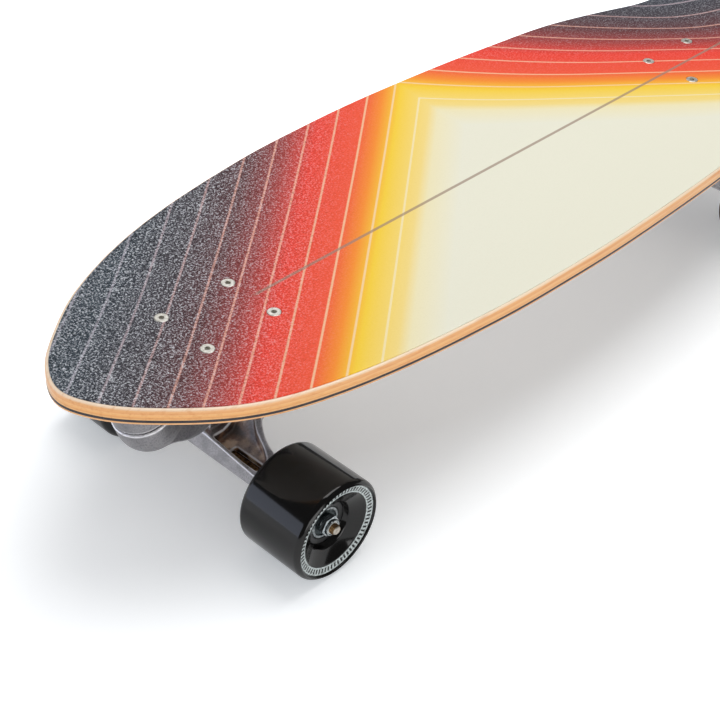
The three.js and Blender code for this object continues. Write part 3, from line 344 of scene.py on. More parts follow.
# Countersinks for the eight deck screws, cut through every layer
screw_nodes = [f"{end}_deck_screw_{i}" for end in ("front", "rear") for i in (1, 2, 3, 4)]
screw_head_radius = 4.7
screw_head_height = 2.6
screw_hole_radius = 2.9
countersink_reach = 20
countersinks = []
screw_tops = {}
for node in screw_nodes:
    low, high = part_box(node)
    top = Vector(((low.x + high.x) / 2, (low.y + high.y) / 2, high.z))
    screw_tops[node] = top
    profile = [(0, 1), (screw_head_radius + 1.2, 1), (screw_head_radius + 0.2, 0)]
    profile += [(screw_hole_radius, -screw_head_height), (screw_hole_radius, -countersink_reach)]
    profile += [(0, -countersink_reach)]
    countersinks.append(lathe("countersink_cutter", profile, Matrix.Translation(top), 32))


def clad(piece, material):
    """Gives a whole piece one material."""
    piece.data.materials.clear()
    piece.data.materials.append(material)
    for polygon in piece.data.polygons:
        polygon.material_index = 0


def discard(pieces):
    """Takes helper shapes out of the scene."""
    for piece in list(pieces):
        bpy.data.objects.remove(piece)


def combined(piece, others, operation, keep=False):
    """Joins closed shapes to a piece, cuts them out of it or keeps only what they share."""
    for other in others:
        step = piece.modifiers.new(operation.lower(), "BOOLEAN")
        step.operation = operation
        step.solver = "MANIFOLD"
        step.object = other
    settled(piece)
    if not keep:
        discard(others)


def machined(piece, cutters, keep=False):
    """Cuts bores and faces, whose edges stay sharp."""
    combined(piece, cutters, "DIFFERENCE", keep)
    piece.data.shade_smooth()
    piece.data.set_sharp_from_angle(angle=math.radians(40))


upper_depth = grip_thickness + glue_line
dark_depth = upper_depth + upper_thickness + glue_line
bottom_depth = dark_depth + dark_thickness + glue_line
deck_sheets = {
    "grip_sheet": deck_sheet("printed_grip", 0, grip_thickness, 0.4 * mm, 0, grip_setback),
    "deck_upper_plies": deck_sheet("upper_plies", upper_depth, upper_thickness, edge_radius, 0),
    "deck_dark_ply": deck_sheet("dark_ply", dark_depth, dark_thickness, 0, 0),
    "deck_bottom_ply": deck_sheet("bottom_ply", bottom_depth, bottom_thickness, 0, bottom_thickness / 2),
}
for node, sheet in deck_sheets.items():
    machined(sheet, countersinks, keep=True)
    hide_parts(node)
    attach(sheet, "board")
discard(countersinks)

# Printed sheet under clear grit: straight colour bands fade from charcoal at both ends to cream in
# the middle, with fine pale lines between them and a brown stripe down the centre. On the dark
# colours the grit is drawn as bright specks, which are painted glints, and as dark pits, which are
# painted shade between its grains. It gives a dry, rough sheen.
grip, tree = new_material("printed grip sheet under clear grit", Roughness=0.62, Specular_IOR_Level=0.3)
band_angle = math.radians(52)
band_start = 40
band_end = 250
place = add(tree, "TexCoord", out="Object")
lengthwise = add(tree, "SeparateXYZ", [place], "X")
sideways = add(tree, "SeparateXYZ", [place], "Y")
along = add(tree, "Math", [lengthwise], operation="ABSOLUTE")
along = add(tree, "Math", [along, math.cos(band_angle)], operation="MULTIPLY")
across = add(tree, "Math", [sideways, -math.sin(band_angle)], operation="MULTIPLY")
reach = add(tree, "Math", [along, across], operation="ADD")
band_place = add(tree, "MapRange", [reach, band_start * mm, band_end * mm])
band_stops = [
    (0.0, "#f2f0dc"), (0.1, "#f7edc2"), (0.135, "#fce189"), (0.24, "#ffd638"), (0.3, "#ff9329"),
    (0.36, "#fb5734"), (0.5, "#f83f2b"), (0.6, "#a93a36"), (0.7, "#693639"), (0.82, "#473e46"),
    (1.0, "#36434f"),
]
line_stops = [
    (0.0, "#f0eed8"), (0.14, "#fdf3c4"), (0.3, "#ffd9a8"), (0.55, "#ffb59c"), (0.72, "#e2a797"),
    (0.85, "#bda3a8"), (1.0, "#aeacb8"),
]
bands = add(tree, "ValToRGB", [band_place], stops=band_stops)
lines = add(tree, "ValToRGB", [band_place], stops=line_stops)
line_spacing = 19
line_width = 1.3
from_line = add(tree, "Math", [reach, line_spacing / 2 * mm], operation="PINGPONG")
on_line = add(tree, "MapRange", [from_line, line_width * 0.35 * mm, line_width * 0.75 * mm, 0.8, 0.0])
in_colour = add(tree, "MapRange", [band_place, 0.12, 0.17])
line_share = add(tree, "Math", [on_line, in_colour], operation="MULTIPLY")
printed = add(tree, "Mix", {0: line_share, 6: bands, 7: lines}, 2, data_type="RGBA")
stripe_half = 1.1
stripe_front = 262
from_centre = add(tree, "Math", [sideways], operation="ABSOLUTE")
on_stripe = add(tree, "MapRange", [from_centre, stripe_half * 0.8 * mm, stripe_half * 1.3 * mm, 0.75, 0.0])
behind_bolts = add(tree, "MapRange", [lengthwise, (stripe_front - 6) * mm, stripe_front * mm, 1.0, 0.0])
stripe_share = add(tree, "Math", [on_stripe, behind_bolts], operation="MULTIPLY")
printed = add(tree, "Mix", {0: stripe_share, 6: printed, 7: linear("#a08574")}, 2, data_type="RGBA")
# The grit is 0.3 mm across; it is drawn at 1.3 mm so that it shows
grit = add(tree, "TexNoise", {"Vector": place, "Scale": 1 / (1.3 * mm), "Detail": 2.5, "Roughness": 0.9})
# Bright specks are painted glints off the grit, and dark pits are painted shade between its grains
grit_glint = add(tree, "MapRange", [grit, 0.52, 0.64, 0.0, 0.9])
grit_shade = add(tree, "MapRange", [grit, 0.36, 0.5, 0.95, 0.0])
# It shows on the dark colours, and more towards the nose than towards the tail
darkness = add(tree, "MapRange", [band_place, 0.3, 0.78, 0.03, 1.0])
noseward = add(tree, "MapRange", [lengthwise, -180 * mm, 200 * mm, 0.35, 1.0])
darkness = add(tree, "Math", [darkness, noseward], operation="MULTIPLY")
grit_glint_share = add(tree, "Math", [grit_glint, darkness], operation="MULTIPLY")
grit_shade_share = add(tree, "Math", [grit_shade, darkness], operation="MULTIPLY")
gritty = add(tree, "Mix", {0: grit_glint_share, 6: printed, 7: linear("#e2e6ec")}, 2, data_type="RGBA")
gritty = add(tree, "Mix", {0: grit_shade_share, 6: gritty, 7: linear("#101318")}, 2, data_type="RGBA")
grain_bump = add(tree, "Bump", {"Height": grit, "Strength": 0.35, "Distance": 0.25 * mm})
lay(tree, Base_Color=gritty, Normal=grain_bump)
clad(deck_sheets["grip_sheet"], grip)

# Lacquered maple: each veneer's sawn edge has its own tone, and long fibres run with the board.
# The rounded top edge is coloured pale, a painted highlight that stands for the lacquer's shine there.
# The fibres are drawn about 2 mm wide, coarser than real ones, so that they show.
maple, tree = new_material("lacquered maple veneer", Roughness=0.38, Coat_Weight=0.35, Coat_Roughness=0.2)
depth_seen = add(tree, "SeparateXYZ", [add(tree, "UVMap")], "Y")
veneer_share = add(tree, "MapRange", [depth_seen, 0.0, bottom_depth + bottom_thickness])
# The first two stops paint a pale highlight on the rounded top edge. The rest are the veneers' own tones
veneer_and_edge_highlight_stops = [
    (0.07, "#ffead2"), (0.13, "#fedfbd"), (0.19, "#fbbd80"), (0.34, "#f6b06c"), (0.38, "#fec583"),
    (0.54, "#fab86f"), (0.58, "#efa962"), (0.7, "#fdc384"), (0.98, "#f6bb84"), (0.996, "#ebe4dc"),
]
veneer_and_edge_highlight_tone = add(tree, "ValToRGB", [veneer_share], stops=veneer_and_edge_highlight_stops)
place = add(tree, "TexCoord", out="Object")
fibre_space = add(tree, "Mapping", {"Vector": place, "Scale": (12.0, 420.0, 420.0)})
fibres = add(tree, "TexNoise", {"Vector": fibre_space, "Scale": 1.0, "Detail": 6.0, "Roughness": 0.6})
fibre_stops = [(0.3, "#e6bd92"), (0.5, "#ffffff"), (0.75, "#fff6ea")]
fibre_tone = add(tree, "ValToRGB", [fibres], stops=fibre_stops)
tones = {0: 0.45, 6: veneer_and_edge_highlight_tone, 7: fibre_tone}
wood = add(tree, "Mix", tones, 2, data_type="RGBA", blend_type="MULTIPLY")
fibre_bump = add(tree, "Bump", {"Height": fibres, "Strength": 0.15, "Distance": 0.1 * mm})
lay(tree, Base_Color=wood, Normal=fibre_bump)
clad(deck_sheets["deck_upper_plies"], maple)
clad(deck_sheets["deck_bottom_ply"], maple)

# Dyed maple: soaked through with charcoal dye, so the fibres only just show
dyed, tree = new_material("charcoal dyed veneer", Roughness=0.45)
place = add(tree, "TexCoord", out="Object")
fibre_space = add(tree, "Mapping", {"Vector": place, "Scale": (14.0, 500.0, 500.0)})
fibres = add(tree, "TexNoise", {"Vector": fibre_space, "Scale": 1.0, "Detail": 5.0})
lay(tree, Base_Color=add(tree, "ValToRGB", [fibres], stops=[(0.3, "#262327"), (0.7, "#3c383c")]))
clad(deck_sheets["deck_dark_ply"], dyed)


# Deck screws: countersunk machine screws with a hexagon socket, bright zinc plated, each with a
# locknut under the truck. They pass through the deck and the base plate, and at the rear through the
# riser too.
node_body = {}
for body, nodes in frame["record"]["behaviour"]["bodies"].items():
    for node in nodes:
        node_body[node] = body


def stands_for(piece, node):
    """A finished piece takes the place of a CAD node."""
    piece.name = node + "_dressed"
    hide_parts(node)


def dressed(piece, node):
    """A finished piece takes the place of a CAD node, and moves with that node's body."""
    stands_for(piece, node)
    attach(piece, node_body[node])


def joined(parts):
    """One object made of several pieces, each with its own material."""
    made = bmesh.new()
    materials = []
    for piece, material in parts:
        if material not in materials:
            materials.append(material)
        first = len(made.faces)
        made.from_mesh(piece.data)
        made.faces.ensure_lookup_table()
        for face in made.faces[first:]:
            face.material_index = materials.index(material)
    mesh = bpy.data.meshes.new("joined")
    made.to_mesh(mesh)
    made.free()
    for material in materials:
        mesh.materials.append(material)
    discard(piece for piece, _ in parts)
    whole = bpy.data.objects.new("joined", mesh)
    bpy.context.scene.collection.objects.link(whole)
    mesh.set_sharp_from_angle(angle=math.radians(32))
    return whole


def hexagon(across, low, high, stand, chamfer=0.7):
    """A hexagon across its flats between two heights, in millimetres, its corners turned down."""
    corner = across / math.sqrt(3)
    places, faces = [], []
    levels = [(low, corner - chamfer), (low + chamfer * 0.5, corner)]
    levels += [(high - chamfer * 0.5, corner), (high, corner - chamfer)]
    for height, radius in levels:
        for k in range(6):
            turn = math.pi / 3 * k
            local = Vector((radius * math.cos(turn), radius * math.sin(turn), height))
            places.append(stand @ (local * mm))
    for ring in range(len(levels) - 1):
        for k in range(6):
            one, two = ring * 6 + k, ring * 6 + (k + 1) % 6
            faces.append((one, two, two + 6, one + 6))
    faces.append((5, 4, 3, 2, 1, 0))
    faces.append((18, 19, 20, 21, 22, 23))
    return piece_from("hexagon", places, faces, 20)


def eased(inner, outer, low, high, ease):
    """The profile of a ring whose outer corners are eased."""
    lower = [(inner, low), (outer - ease, low), (outer, low + ease)]
    return lower + [(outer, high - ease), (outer - ease, high), (inner, high)]


def rod(radius, low, high, stand, sides=48):
    """A plain round bar between two heights, in millimetres."""
    return lathe("rod", [(0, low), (radius, low), (radius, high), (0, high)], stand, sides)


def mottled(name, dull_hex, bright_hex, spot, detail=2.0, low=0.3, high=0.7, **sockets):
    """A finish in two tones, in soft blotches whose size in millimetres is given."""
    made, tree = new_material(name, **sockets)
    place = add(tree, "TexCoord", out="Object")
    blotch = add(tree, "TexNoise", {"Vector": place, "Scale": 1 / (spot * mm), "Detail": detail})
    lay(tree, Base_Color=add(tree, "ValToRGB", [blotch], stops=[(low, dull_hex), (high, bright_hex)]))
    return made, tree, blotch


def plated(name, dull_hex, bright_hex, roughness, spot):
    """Metal with faint blotches, and a gloss that follows them."""
    made, tree, blotch = mottled(name, dull_hex, bright_hex, spot, 5.0, 0.35, 0.65, Metallic=1.0)
    gloss = add(tree, "MapRange", [blotch, 0.0, 1.0, roughness * 1.3, roughness * 0.7])
    ripple = add(tree, "Bump", {"Height": blotch, "Strength": 0.1, "Distance": 0.1 * mm})
    lay(tree, Roughness=gloss, Normal=ripple)
    return made


# Zinc gives a bluish, milky shine, plain steel a harder one
zinc = plated("blue zinc plated steel", "#8f979b", "#cfd6d8", 0.24, 1.6)
steel = plated("ground bearing steel", "#6f7578", "#aab0b2", 0.24, 2.0)

# Nylon locking rings are cream white and a little waxy
nylon = mottled("natural nylon", "#cfd2cf", "#e6e8e4", 1.5, Roughness=0.4)[0]

screw_shank_radius = 2.4
socket_across = 3.4
socket_depth = 1.7
screw_nut_across = 8
screw_nut_height = 5
screw_tail = 2


def locknut(across, low, height, collar_radius, stand, downwards):
    """A hexagon nut with a nylon ring held in its collar, which points up or down."""
    collar = height * 0.32
    if downwards:
        turned_over = Matrix.Translation((0, 0, (2 * low + height) * mm)) @ Matrix.Rotation(math.pi, 4, "X")
        stand = stand @ turned_over
    top = low + height
    nut = hexagon(across, low, top - collar, stand)
    lip = [(collar_radius - 1.2, top - collar - 0.2), (collar_radius, top - collar - 0.2)]
    lip += [(collar_radius, top - 0.6), (collar_radius - 0.35, top), (collar_radius - 0.8, top)]
    lip += [(collar_radius - 1.2, top - 0.5)]
    ring = [(collar_radius - 2.4, top - collar), (collar_radius - 1.25, top - collar)]
    ring += [(collar_radius - 1.25, top - 0.45), (collar_radius - 2.4, top - 0.45)]
    return [(nut, zinc), (lathe("lip", lip, stand, 40), zinc), (lathe("ring", ring, stand, 40), nylon)]


# The screws' heads are polished before they are plated, so they shine warm and nearly white
bright_zinc = plated("polished and plated screw steel", "#d2cec4", "#fbf8f0", 0.36, 1.8)
for node, top in screw_tops.items():
    low = (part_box(node)[0].z - top.z) / mm
    stand = Matrix.Translation(top)
    profile = [(0, -0.05), (screw_head_radius - 0.5, -0.05), (screw_head_radius - 0.1, -0.3)]
    profile += [(screw_shank_radius, -screw_head_height), (screw_shank_radius, low + 0.4)]
    profile += [(screw_shank_radius - 0.4, low), (0, low)]
    screw = lathe("screw", profile, stand, 40)
    socket = hexagon(socket_across, -socket_depth, 1, stand, 0)
    combined(screw, [socket], "DIFFERENCE")
    nut_low = low + screw_tail
    parts = locknut(screw_nut_across, nut_low, screw_nut_height, screw_nut_across * 0.46, stand, True)
    dressed(joined([(screw, bright_zinc)] + parts), node)


# Front base plate: gravity cast aluminium, with a round boss that leans back over the swing arm and
# ends in a spigot for its pivot. A gusset runs back from the boss under the plate.
def rounded(points, radius, steps=6):
    """The corners of an outline, each rounded by a short curve."""
    corners = [Vector(point) for point in points]
    outline = []
    for i, corner in enumerate(corners):
        before, after = corners[i - 1], corners[(i + 1) % len(corners)]
        reach = min(radius, (corner - before).length / 2.2, (corner - after).length / 2.2)
        start = corner + (before - corner).normalized() * reach
        end = corner + (after - corner).normalized() * reach
        for k in range(steps + 1):
            t = k / steps
            outline.append((1 - t) ** 2 * start + 2 * t * (1 - t) * corner + t * t * end)
    return outline


facings = {"x": (1, 2, 0), "y": (0, 2, 1), "z": (0, 1, 2)}


def prism(points, radius, low, high, facing, stand):
    """A rounded outline, in millimetres, run along the truck's x, y or z from one place to another."""
    outline = rounded(points, radius)
    first, second, along = facings[facing]
    places = []
    for level in (low, high):
        for a, b in outline:
            local = Vector((0, 0, 0))
            local[first], local[second], local[along] = a, b, level
            places.append(stand @ (local * mm))
    count = len(outline)
    faces = [tuple(range(count)), tuple(range(2 * count - 1, count - 1, -1))]
    for i in range(count):
        after = (i + 1) % count
        faces.append((i, after, count + after, count + i))
    return piece_from("prism", places, faces)


def cast(base, added, grain, soften):
    """One casting made of several forms, its edges softened as sand or a die leaves them."""
    combined(base, added, "UNION")
    skin = base.modifiers.new("skin", "REMESH")
    skin.mode = "VOXEL"
    skin.voxel_size = grain * mm
    ease = base.modifiers.new("ease", "SMOOTH")
    ease.factor = 0.5
    ease.iterations = soften
    settled(base)
    base.data.shade_smooth()
    return base


def bolt_holes(bolts_x, low, high, stand):
    """Cutters for the four deck screws."""
    cutters = []
    for along in (1, -1):
        for across in (1, -1):
            place = (bolts_x + along * bolt_length / 2, across * bolt_width / 2, 0)
            here = stand @ Matrix.Translation(Vector(place) * mm)
            cutters.append(rod(screw_hole_radius, low - 1, high + 1, here, 24))
    return cutters


def middle_of(node):
    """The middle of a CAD node's box."""
    low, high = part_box(node)
    return (low + high) / 2


def bolts_middle(end):
    """Where the middle of four deck screws lies along the board."""
    return sum(screw_tops[f"{end}_deck_screw_{i}"].x for i in (1, 2, 3, 4)) / 4


bolt_length = 54
bolt_width = 41.3
front_axle = middle_of("front_axle")
rear_axle = middle_of("rear_axle")
front_stand = Matrix.Translation(front_axle)
rear_stand = Matrix.Translation(rear_axle) @ Matrix.Rotation(math.pi, 4, "Z")
front_bolts = (bolts_middle("front") - front_axle.x) / mm
rear_bolts = (rear_axle.x - bolts_middle("rear")) / mm
plate_top = (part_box("front_base_plate")[1].z - front_axle.z) / mm
plate_thickness = 6
plate_low = plate_top - plate_thickness
plate_half = 29
swing_tilt = math.radians(20)
swing_ahead = 52
swing_rise = 55.4
swing_place = Matrix.Translation(Vector((swing_ahead, 0, swing_rise)) * mm)
swing_stand = front_stand @ swing_place @ Matrix.Rotation(swing_tilt, 4, "Y")
boss_radius = 19.5
spigot_radius = 7.5
spigot_length = 8
parting_gap = 0.8
pivot_hole = 5.05
pivot_nut_seat = 19
pivot_nut_pocket = 10
arm_roof = 66
boss_height = (plate_top - swing_rise) / math.cos(swing_tilt)
boss_x = swing_ahead + boss_height * math.sin(swing_tilt)
boss_reach = boss_radius / math.cos(swing_tilt)
plate_tail = 42
outline = [
    (front_bolts - plate_tail, -plate_half),
    (front_bolts - plate_tail, plate_half),
    (front_bolts + plate_tail, plate_half),
    (boss_x + boss_reach * 0.4, boss_reach),
    (boss_x + boss_reach, boss_reach * 0.45),
    (boss_x + boss_reach, -boss_reach * 0.45),
    (boss_x + boss_reach * 0.4, -boss_reach),
    (front_bolts + plate_tail, -plate_half),
]
sheet = prism(outline, 9, plate_low, plate_top, "z", front_stand)
boss_profile = [(0, parting_gap), (boss_radius, parting_gap), (boss_radius, boss_height + boss_radius)]
boss_profile += [(0, boss_height + boss_radius)]
boss = lathe("boss", boss_profile, swing_stand, 72)
above = prism([(-200, -200), (200, -200), (200, 200), (-200, 200)], 0, plate_top, 200, "z", front_stand)
combined(boss, [above], "DIFFERENCE")
gusset_outline = [
    (front_bolts + bolt_length / 2, plate_low + 1),
    (swing_ahead, plate_low + 1),
    (swing_ahead, arm_roof + 2.5),
    (swing_ahead - boss_radius, arm_roof + 2.5),
]
gusset = prism(gusset_outline, 1, -4, 4, "y", front_stand)
base_plate = cast(sheet, [boss, gusset], 0.8, 5)
spigot = rod(spigot_radius, -spigot_length, parting_gap + 2, swing_stand)
combined(base_plate, [spigot], "UNION")
cutters = bolt_holes(front_bolts, plate_low, plate_top, front_stand)
cutters += [rod(pivot_hole, -60, 60, swing_stand), rod(pivot_nut_pocket, pivot_nut_seat, 60, swing_stand)]
machined(base_plate, cutters)


# Cast aluminium: the skin is fine grained and grey and shines only broadly. The hollows are painted
# with shade, darkest deep inside, and with a warm brown painted reflection of the deck's maple
# underside, and they lose their shine. The ridges are painted pale, as worn bare metal and as a painted
# highlight along the crests. The grain is drawn at 0.9 mm, coarser than on real metal, so that it shows.
def cast_aluminium(name, dark_hex, pale_hex):
    """Cast metal between two greys, with painted shade and reflection in its hollows and pale ridges, worn
    and highlighted.
    """
    made, tree = new_material(name)
    place = add(tree, "TexCoord", out="Object")
    patches = add(tree, "TexNoise", {"Vector": place, "Scale": 1 / (14 * mm), "Detail": 4.0})
    grain = add(tree, "TexNoise", {"Vector": place, "Scale": 1 / (0.9 * mm), "Detail": 3.0})
    tone = add(tree, "ValToRGB", [patches], stops=[(0.35, dark_hex), (0.6, pale_hex)])
    peppered = add(tree, "MapRange", [grain, 0.35, 0.55, 0.5, 0.0])
    speckled = add(tree, "Mix", {0: peppered, 6: tone, 7: linear("#5c5b5f")}, 2, data_type="RGBA")
    open_share = add(
        tree, "AmbientOcclusion", {"Distance": 26 * mm}, "AO", samples=8, only_local=True
    )
    # Painted shade in the hollows, with a brown painted reflection of the maple underside, darkest deep
    # inside
    hollow = add(tree, "MapRange", [open_share, 0.45, 0.95, 0.98, 0.0])
    deep_shade = add(tree, "MapRange", [open_share, 0.15, 0.4, 0.95, 0.0])
    hollow_light_stops = [(0.4, "#3b2719"), (0.5, "#8c6447"), (0.62, "#ffdfbd")]
    hollow_light = add(tree, "ValToRGB", [patches], stops=hollow_light_stops)
    hollow_light = add(tree, "Mix", {0: deep_shade, 6: hollow_light, 7: linear("#0e0a07")}, 2, data_type="RGBA")
    tone = add(tree, "Mix", {0: hollow, 6: speckled, 7: hollow_light}, 2, data_type="RGBA")
    # Pale ridges: worn bare metal, and a painted highlight along the crests
    ridge_wear_and_highlight = add(tree, "MapRange", [add(tree, "NewGeometry", out="Pointiness"), 0.505, 0.53, 0.0, 0.95])
    tone = add(tree, "Mix", {0: ridge_wear_and_highlight, 6: tone, 7: linear("#f4f3f6")}, 2, data_type="RGBA")
    metal = add(tree, "MapRange", [hollow, 0.0, 1.0, 0.75, 0.2])
    gloss = add(tree, "MapRange", [grain, 0.0, 1.0, 0.3, 0.55])
    skin = add(tree, "Bump", {"Height": grain, "Strength": 0.6, "Distance": 0.25 * mm})
    lay(tree, Base_Color=tone, Metallic=metal, Roughness=gloss, Normal=skin)
    return made


aluminium = cast_aluminium("tumbled cast aluminium", "#8c8a8d", "#a5a3a6")
clad(base_plate, aluminium)
dressed(base_plate, "front_base_plate")

# Swing arm: an aluminium casting with a round bowl that turns under the base plate's boss. Behind
# the bowl it holds the pivot cup, and a flat pad that the kingpin and its bushings hang from.
tilt_angle = math.radians(23)
ring_setback = 34.4
ring_rise = 18
ring_half = 4.5
seat_gap = 0.3
upper_bushing_height = 13.4
lower_bushing_height = 12.4
washer_thickness = 1.5
seat_height = ring_half + upper_bushing_height + washer_thickness + 3 * seat_gap
pad_radius = 15
pad_thickness = 11
pivot_span = 57
pivot_reach = 3.2
nose_radius = 6.5
cup_wall = 2.2
cup_mouth = 5
cup_radius = nose_radius + seat_gap + cup_wall
cup_end = pivot_span + pivot_reach + seat_gap + cup_wall
kingpin_radius = 4.75
kingpin_head_across = 15
kingpin_head_height = 6
ring_place = Matrix.Translation(Vector((-ring_setback, 0, ring_rise)) * mm)


def kingpin_at(stand):
    """The kingpin's own axis, with a height of 0 in the middle of the hanger's ring."""
    return stand @ ring_place @ Matrix.Rotation(-tilt_angle, 4, "Y")


def tilt_at(stand):
    """The axis that a hanger tilts on, from its ring to its pivot cup."""
    return stand @ ring_place @ Matrix.Rotation(math.pi / 2 - tilt_angle, 4, "Y")


def from_ring(along, up):
    """A place in a truck's side view, measured along the tilt axis and square to it."""
    x = -ring_setback + along * math.cos(tilt_angle) - up * math.sin(tilt_angle)
    z = ring_rise + along * math.sin(tilt_angle) + up * math.cos(tilt_angle)
    return x, z


bowl_rim = 20.5
bowl_depth = 30
arm_half = 16.5
arm_floor = 22.5
arm_cheek = 5
arm_rear = 11.5
side_outline = [
    (swing_ahead, swing_rise - bowl_depth * 0.7),
    (swing_ahead * 0.8, arm_floor + arm_cheek * 1.9),
    (arm_rear + arm_cheek * 2, arm_floor),
    (arm_rear, arm_floor + arm_cheek * 1.6),
    (arm_rear, swing_rise * 0.72),
    from_ring(pivot_span * 0.66, 11.2),
    from_ring(pad_radius, seat_height),
    from_ring(-pad_radius, seat_height),
    from_ring(-pad_radius, seat_height + pad_thickness),
    from_ring(pad_radius * 0.9, seat_height + pad_thickness),
    (arm_rear * 0.3, arm_roof - arm_cheek),
    (from_ring(cup_end + cup_wall, 0)[0], arm_roof),
    (swing_ahead - bowl_rim * 0.7, swing_rise + arm_cheek),
    (swing_ahead, swing_rise - arm_cheek),
]
pad_rear = -ring_setback - 2 * pad_radius
plan_outline = [
    (swing_ahead + bowl_rim, -2 * arm_half),
    (swing_ahead + bowl_rim, 2 * arm_half),
    (-ring_setback, 2 * arm_half),
    (-ring_setback, arm_half),
    (pad_rear + pad_radius * 0.3, pad_radius * 0.8),
    (pad_rear, 0),
    (pad_rear + pad_radius * 0.3, -pad_radius * 0.8),
    (-ring_setback, -arm_half),
    (-ring_setback, -2 * arm_half),
]
section_outline = [(-arm_half, arm_floor), (arm_half, arm_floor), (arm_half, 2 * arm_roof)]
section_outline += [(-arm_half, 2 * arm_roof)]
arm = prism(side_outline, arm_cheek, -arm_half, arm_half, "y", front_stand)
limits = [
    prism(plan_outline, 0.5, -bowl_depth, 2 * arm_roof, "z", front_stand),
    prism(section_outline, 10, pad_rear - 5, swing_ahead + bowl_rim, "x", front_stand),
]
combined(arm, limits, "INTERSECT")
bowl_profile = [(0, -bowl_depth)]
for degrees in range(80, -1, -10):
    turn = math.radians(degrees)
    bowl_profile.append((bowl_rim * math.cos(turn), -bowl_depth / 3 * (1 + 2 * math.sin(turn))))
bowl_profile += [(bowl_rim, 0), (0, 0)]
swing_arm = cast(arm, [lathe("bowl", bowl_profile, swing_stand, 72)], 0.7, 7)
kingpin_stand = kingpin_at(front_stand)
head_seat = seat_height + pad_thickness - kingpin_head_height
kingpin_head_room = 9.15
pivot_head_room = 9.4
spring_room = 12.5
cutters = [
    rod(bowl_rim + seat_gap, 0, 2 * bowl_rim, swing_stand, 72),
    rod(spring_room, -16, 1, swing_stand),
    rod(pivot_hole, -60, 30, swing_stand),
    rod(pivot_head_room, -60, -24.2, swing_stand),
    rod(cup_radius + seat_gap, pivot_span / 2, cup_end + seat_gap, tilt_at(front_stand)),
    rod(kingpin_radius + seat_gap, -37, 60, kingpin_stand),
    rod(kingpin_head_room, head_seat, 60, kingpin_stand),
]
machined(swing_arm, cutters)
clad(swing_arm, aluminium)
dressed(swing_arm, "front_swing_arm")

# Swing pivot: a steel bolt up through the bowl and the spigot, with its nut in the boss. Between
# them sit a thrust bearing and the spring that brings the arm back to the middle.
pivot_head_across = 15
pivot_head_height = 5.2
pivot_nut_height = 6.5
bolt_head_low = seat_gap - bowl_depth
pivot_nut_low = pivot_nut_seat + seat_gap
pivot_nut_high = pivot_nut_low + pivot_nut_height
head = hexagon(pivot_head_across, bolt_head_low, bolt_head_low + pivot_head_height, swing_stand)
shank = rod(kingpin_radius, bolt_head_low + 1, pivot_nut_high, swing_stand)
dressed(joined([(head, steel), (shank, steel)]), "front_pivot_bolt")


def open_nut(across, low, high, bore, stand):
    """A hexagon nut with its hole."""
    nut = hexagon(across, low, high, stand)
    hole = rod(bore, low - 1, high + 1, stand)
    combined(nut, [hole], "DIFFERENCE")
    return nut


nut_bore = kingpin_radius + seat_gap
pivot_nut = open_nut(pivot_head_across, pivot_nut_low, pivot_nut_high, nut_bore, swing_stand)
dressed(joined([(pivot_nut, zinc)]), "front_pivot_nut")
race_low, race_high = -15.7, -8.3
race_third = (race_high - race_low) / 3
race_radius = 7.5
groove_radius = 6.9
race = eased(5.1, race_radius, race_low, race_high, 0.2)
race[3:3] = [(race_radius, race_low + race_third), (groove_radius, race_low + race_third)]
race[5:5] = [(groove_radius, race_high - race_third), (race_radius, race_high - race_third)]
dressed(joined([(lathe("race", race, swing_stand), steel)]), "front_thrust_bearing")

spring_turns = 3
spring_steps = 32
wire_radius = 1
coil_radius = 10.5
spring_rise = (-race_low - 2 * wire_radius) / spring_turns
places, faces = [], []
total = spring_turns * spring_steps
for i in range(total + 1):
    turn = 2 * math.pi * i / spring_steps
    for k in range(12):
        lean = 2 * math.pi * k / 12
        out = coil_radius + wire_radius * math.cos(lean)
        height = race_low + wire_radius * (1 + math.sin(lean)) + spring_rise * i / spring_steps
        places.append(swing_stand @ (Vector((out * math.cos(turn), out * math.sin(turn), height)) * mm))
for i in range(total):
    for k in range(12):
        after = (k + 1) % 12
        faces.append((i * 12 + k, i * 12 + after, (i + 1) * 12 + after, (i + 1) * 12 + k))
faces.append(tuple(range(12)))
faces.append(tuple(range(total * 12 + 11, total * 12 - 1, -1)))
dressed(joined([(piece_from("spring", places, faces), steel)]), "front_return_spring")

# Hangers: one aluminium casting for each truck. Its beam holds the axle, two webs run to the ring
# that sits between the bushings, and a round stem runs down to the pivot cup.
shoulder_end = (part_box("front_hanger")[1].y - front_axle.y) / mm
beam_half = shoulder_end - 25.2
beam_front = 8
beam_top = 9
face_top = 6
face_crown = 12.9
face_bottom = 4
web_rise = 5
ring_radius = 18.5
ring_hole = 9.5
wall_ahead = 13.25
stem_end = pivot_span - 13
fin_half = 4.5
hanger_wall = 5.5
hanger_floor = 4.5
crest_wall = 2.9
pocket_wall = 3.6
slot_wall = 5
slot_length = 28
slot_back = -3.4
slot_front = 4.9
slot_corner = 2.1
slot_floor = 2
shoulder_radius = 7.5
mouth_half = 38
neck_half = 27
axle_radius = 4
bore_gap = 0.15
# The hangers get a paler, lit copy of the cast aluminium: painted light makes them brighter than the other
# castings
lit_hanger_aluminium = cast_aluminium("paler lit cast aluminium", "#acaaae", "#c8c6ca")


def arc(centre, radius, start, end, count):
    """Places on an arc of a profile, from one angle in degrees to another."""
    turns = [math.radians(start + (end - start) * k / count) for k in range(count + 1)]
    return [(centre[0] + radius * math.cos(t), centre[1] + radius * math.sin(t)) for t in turns]


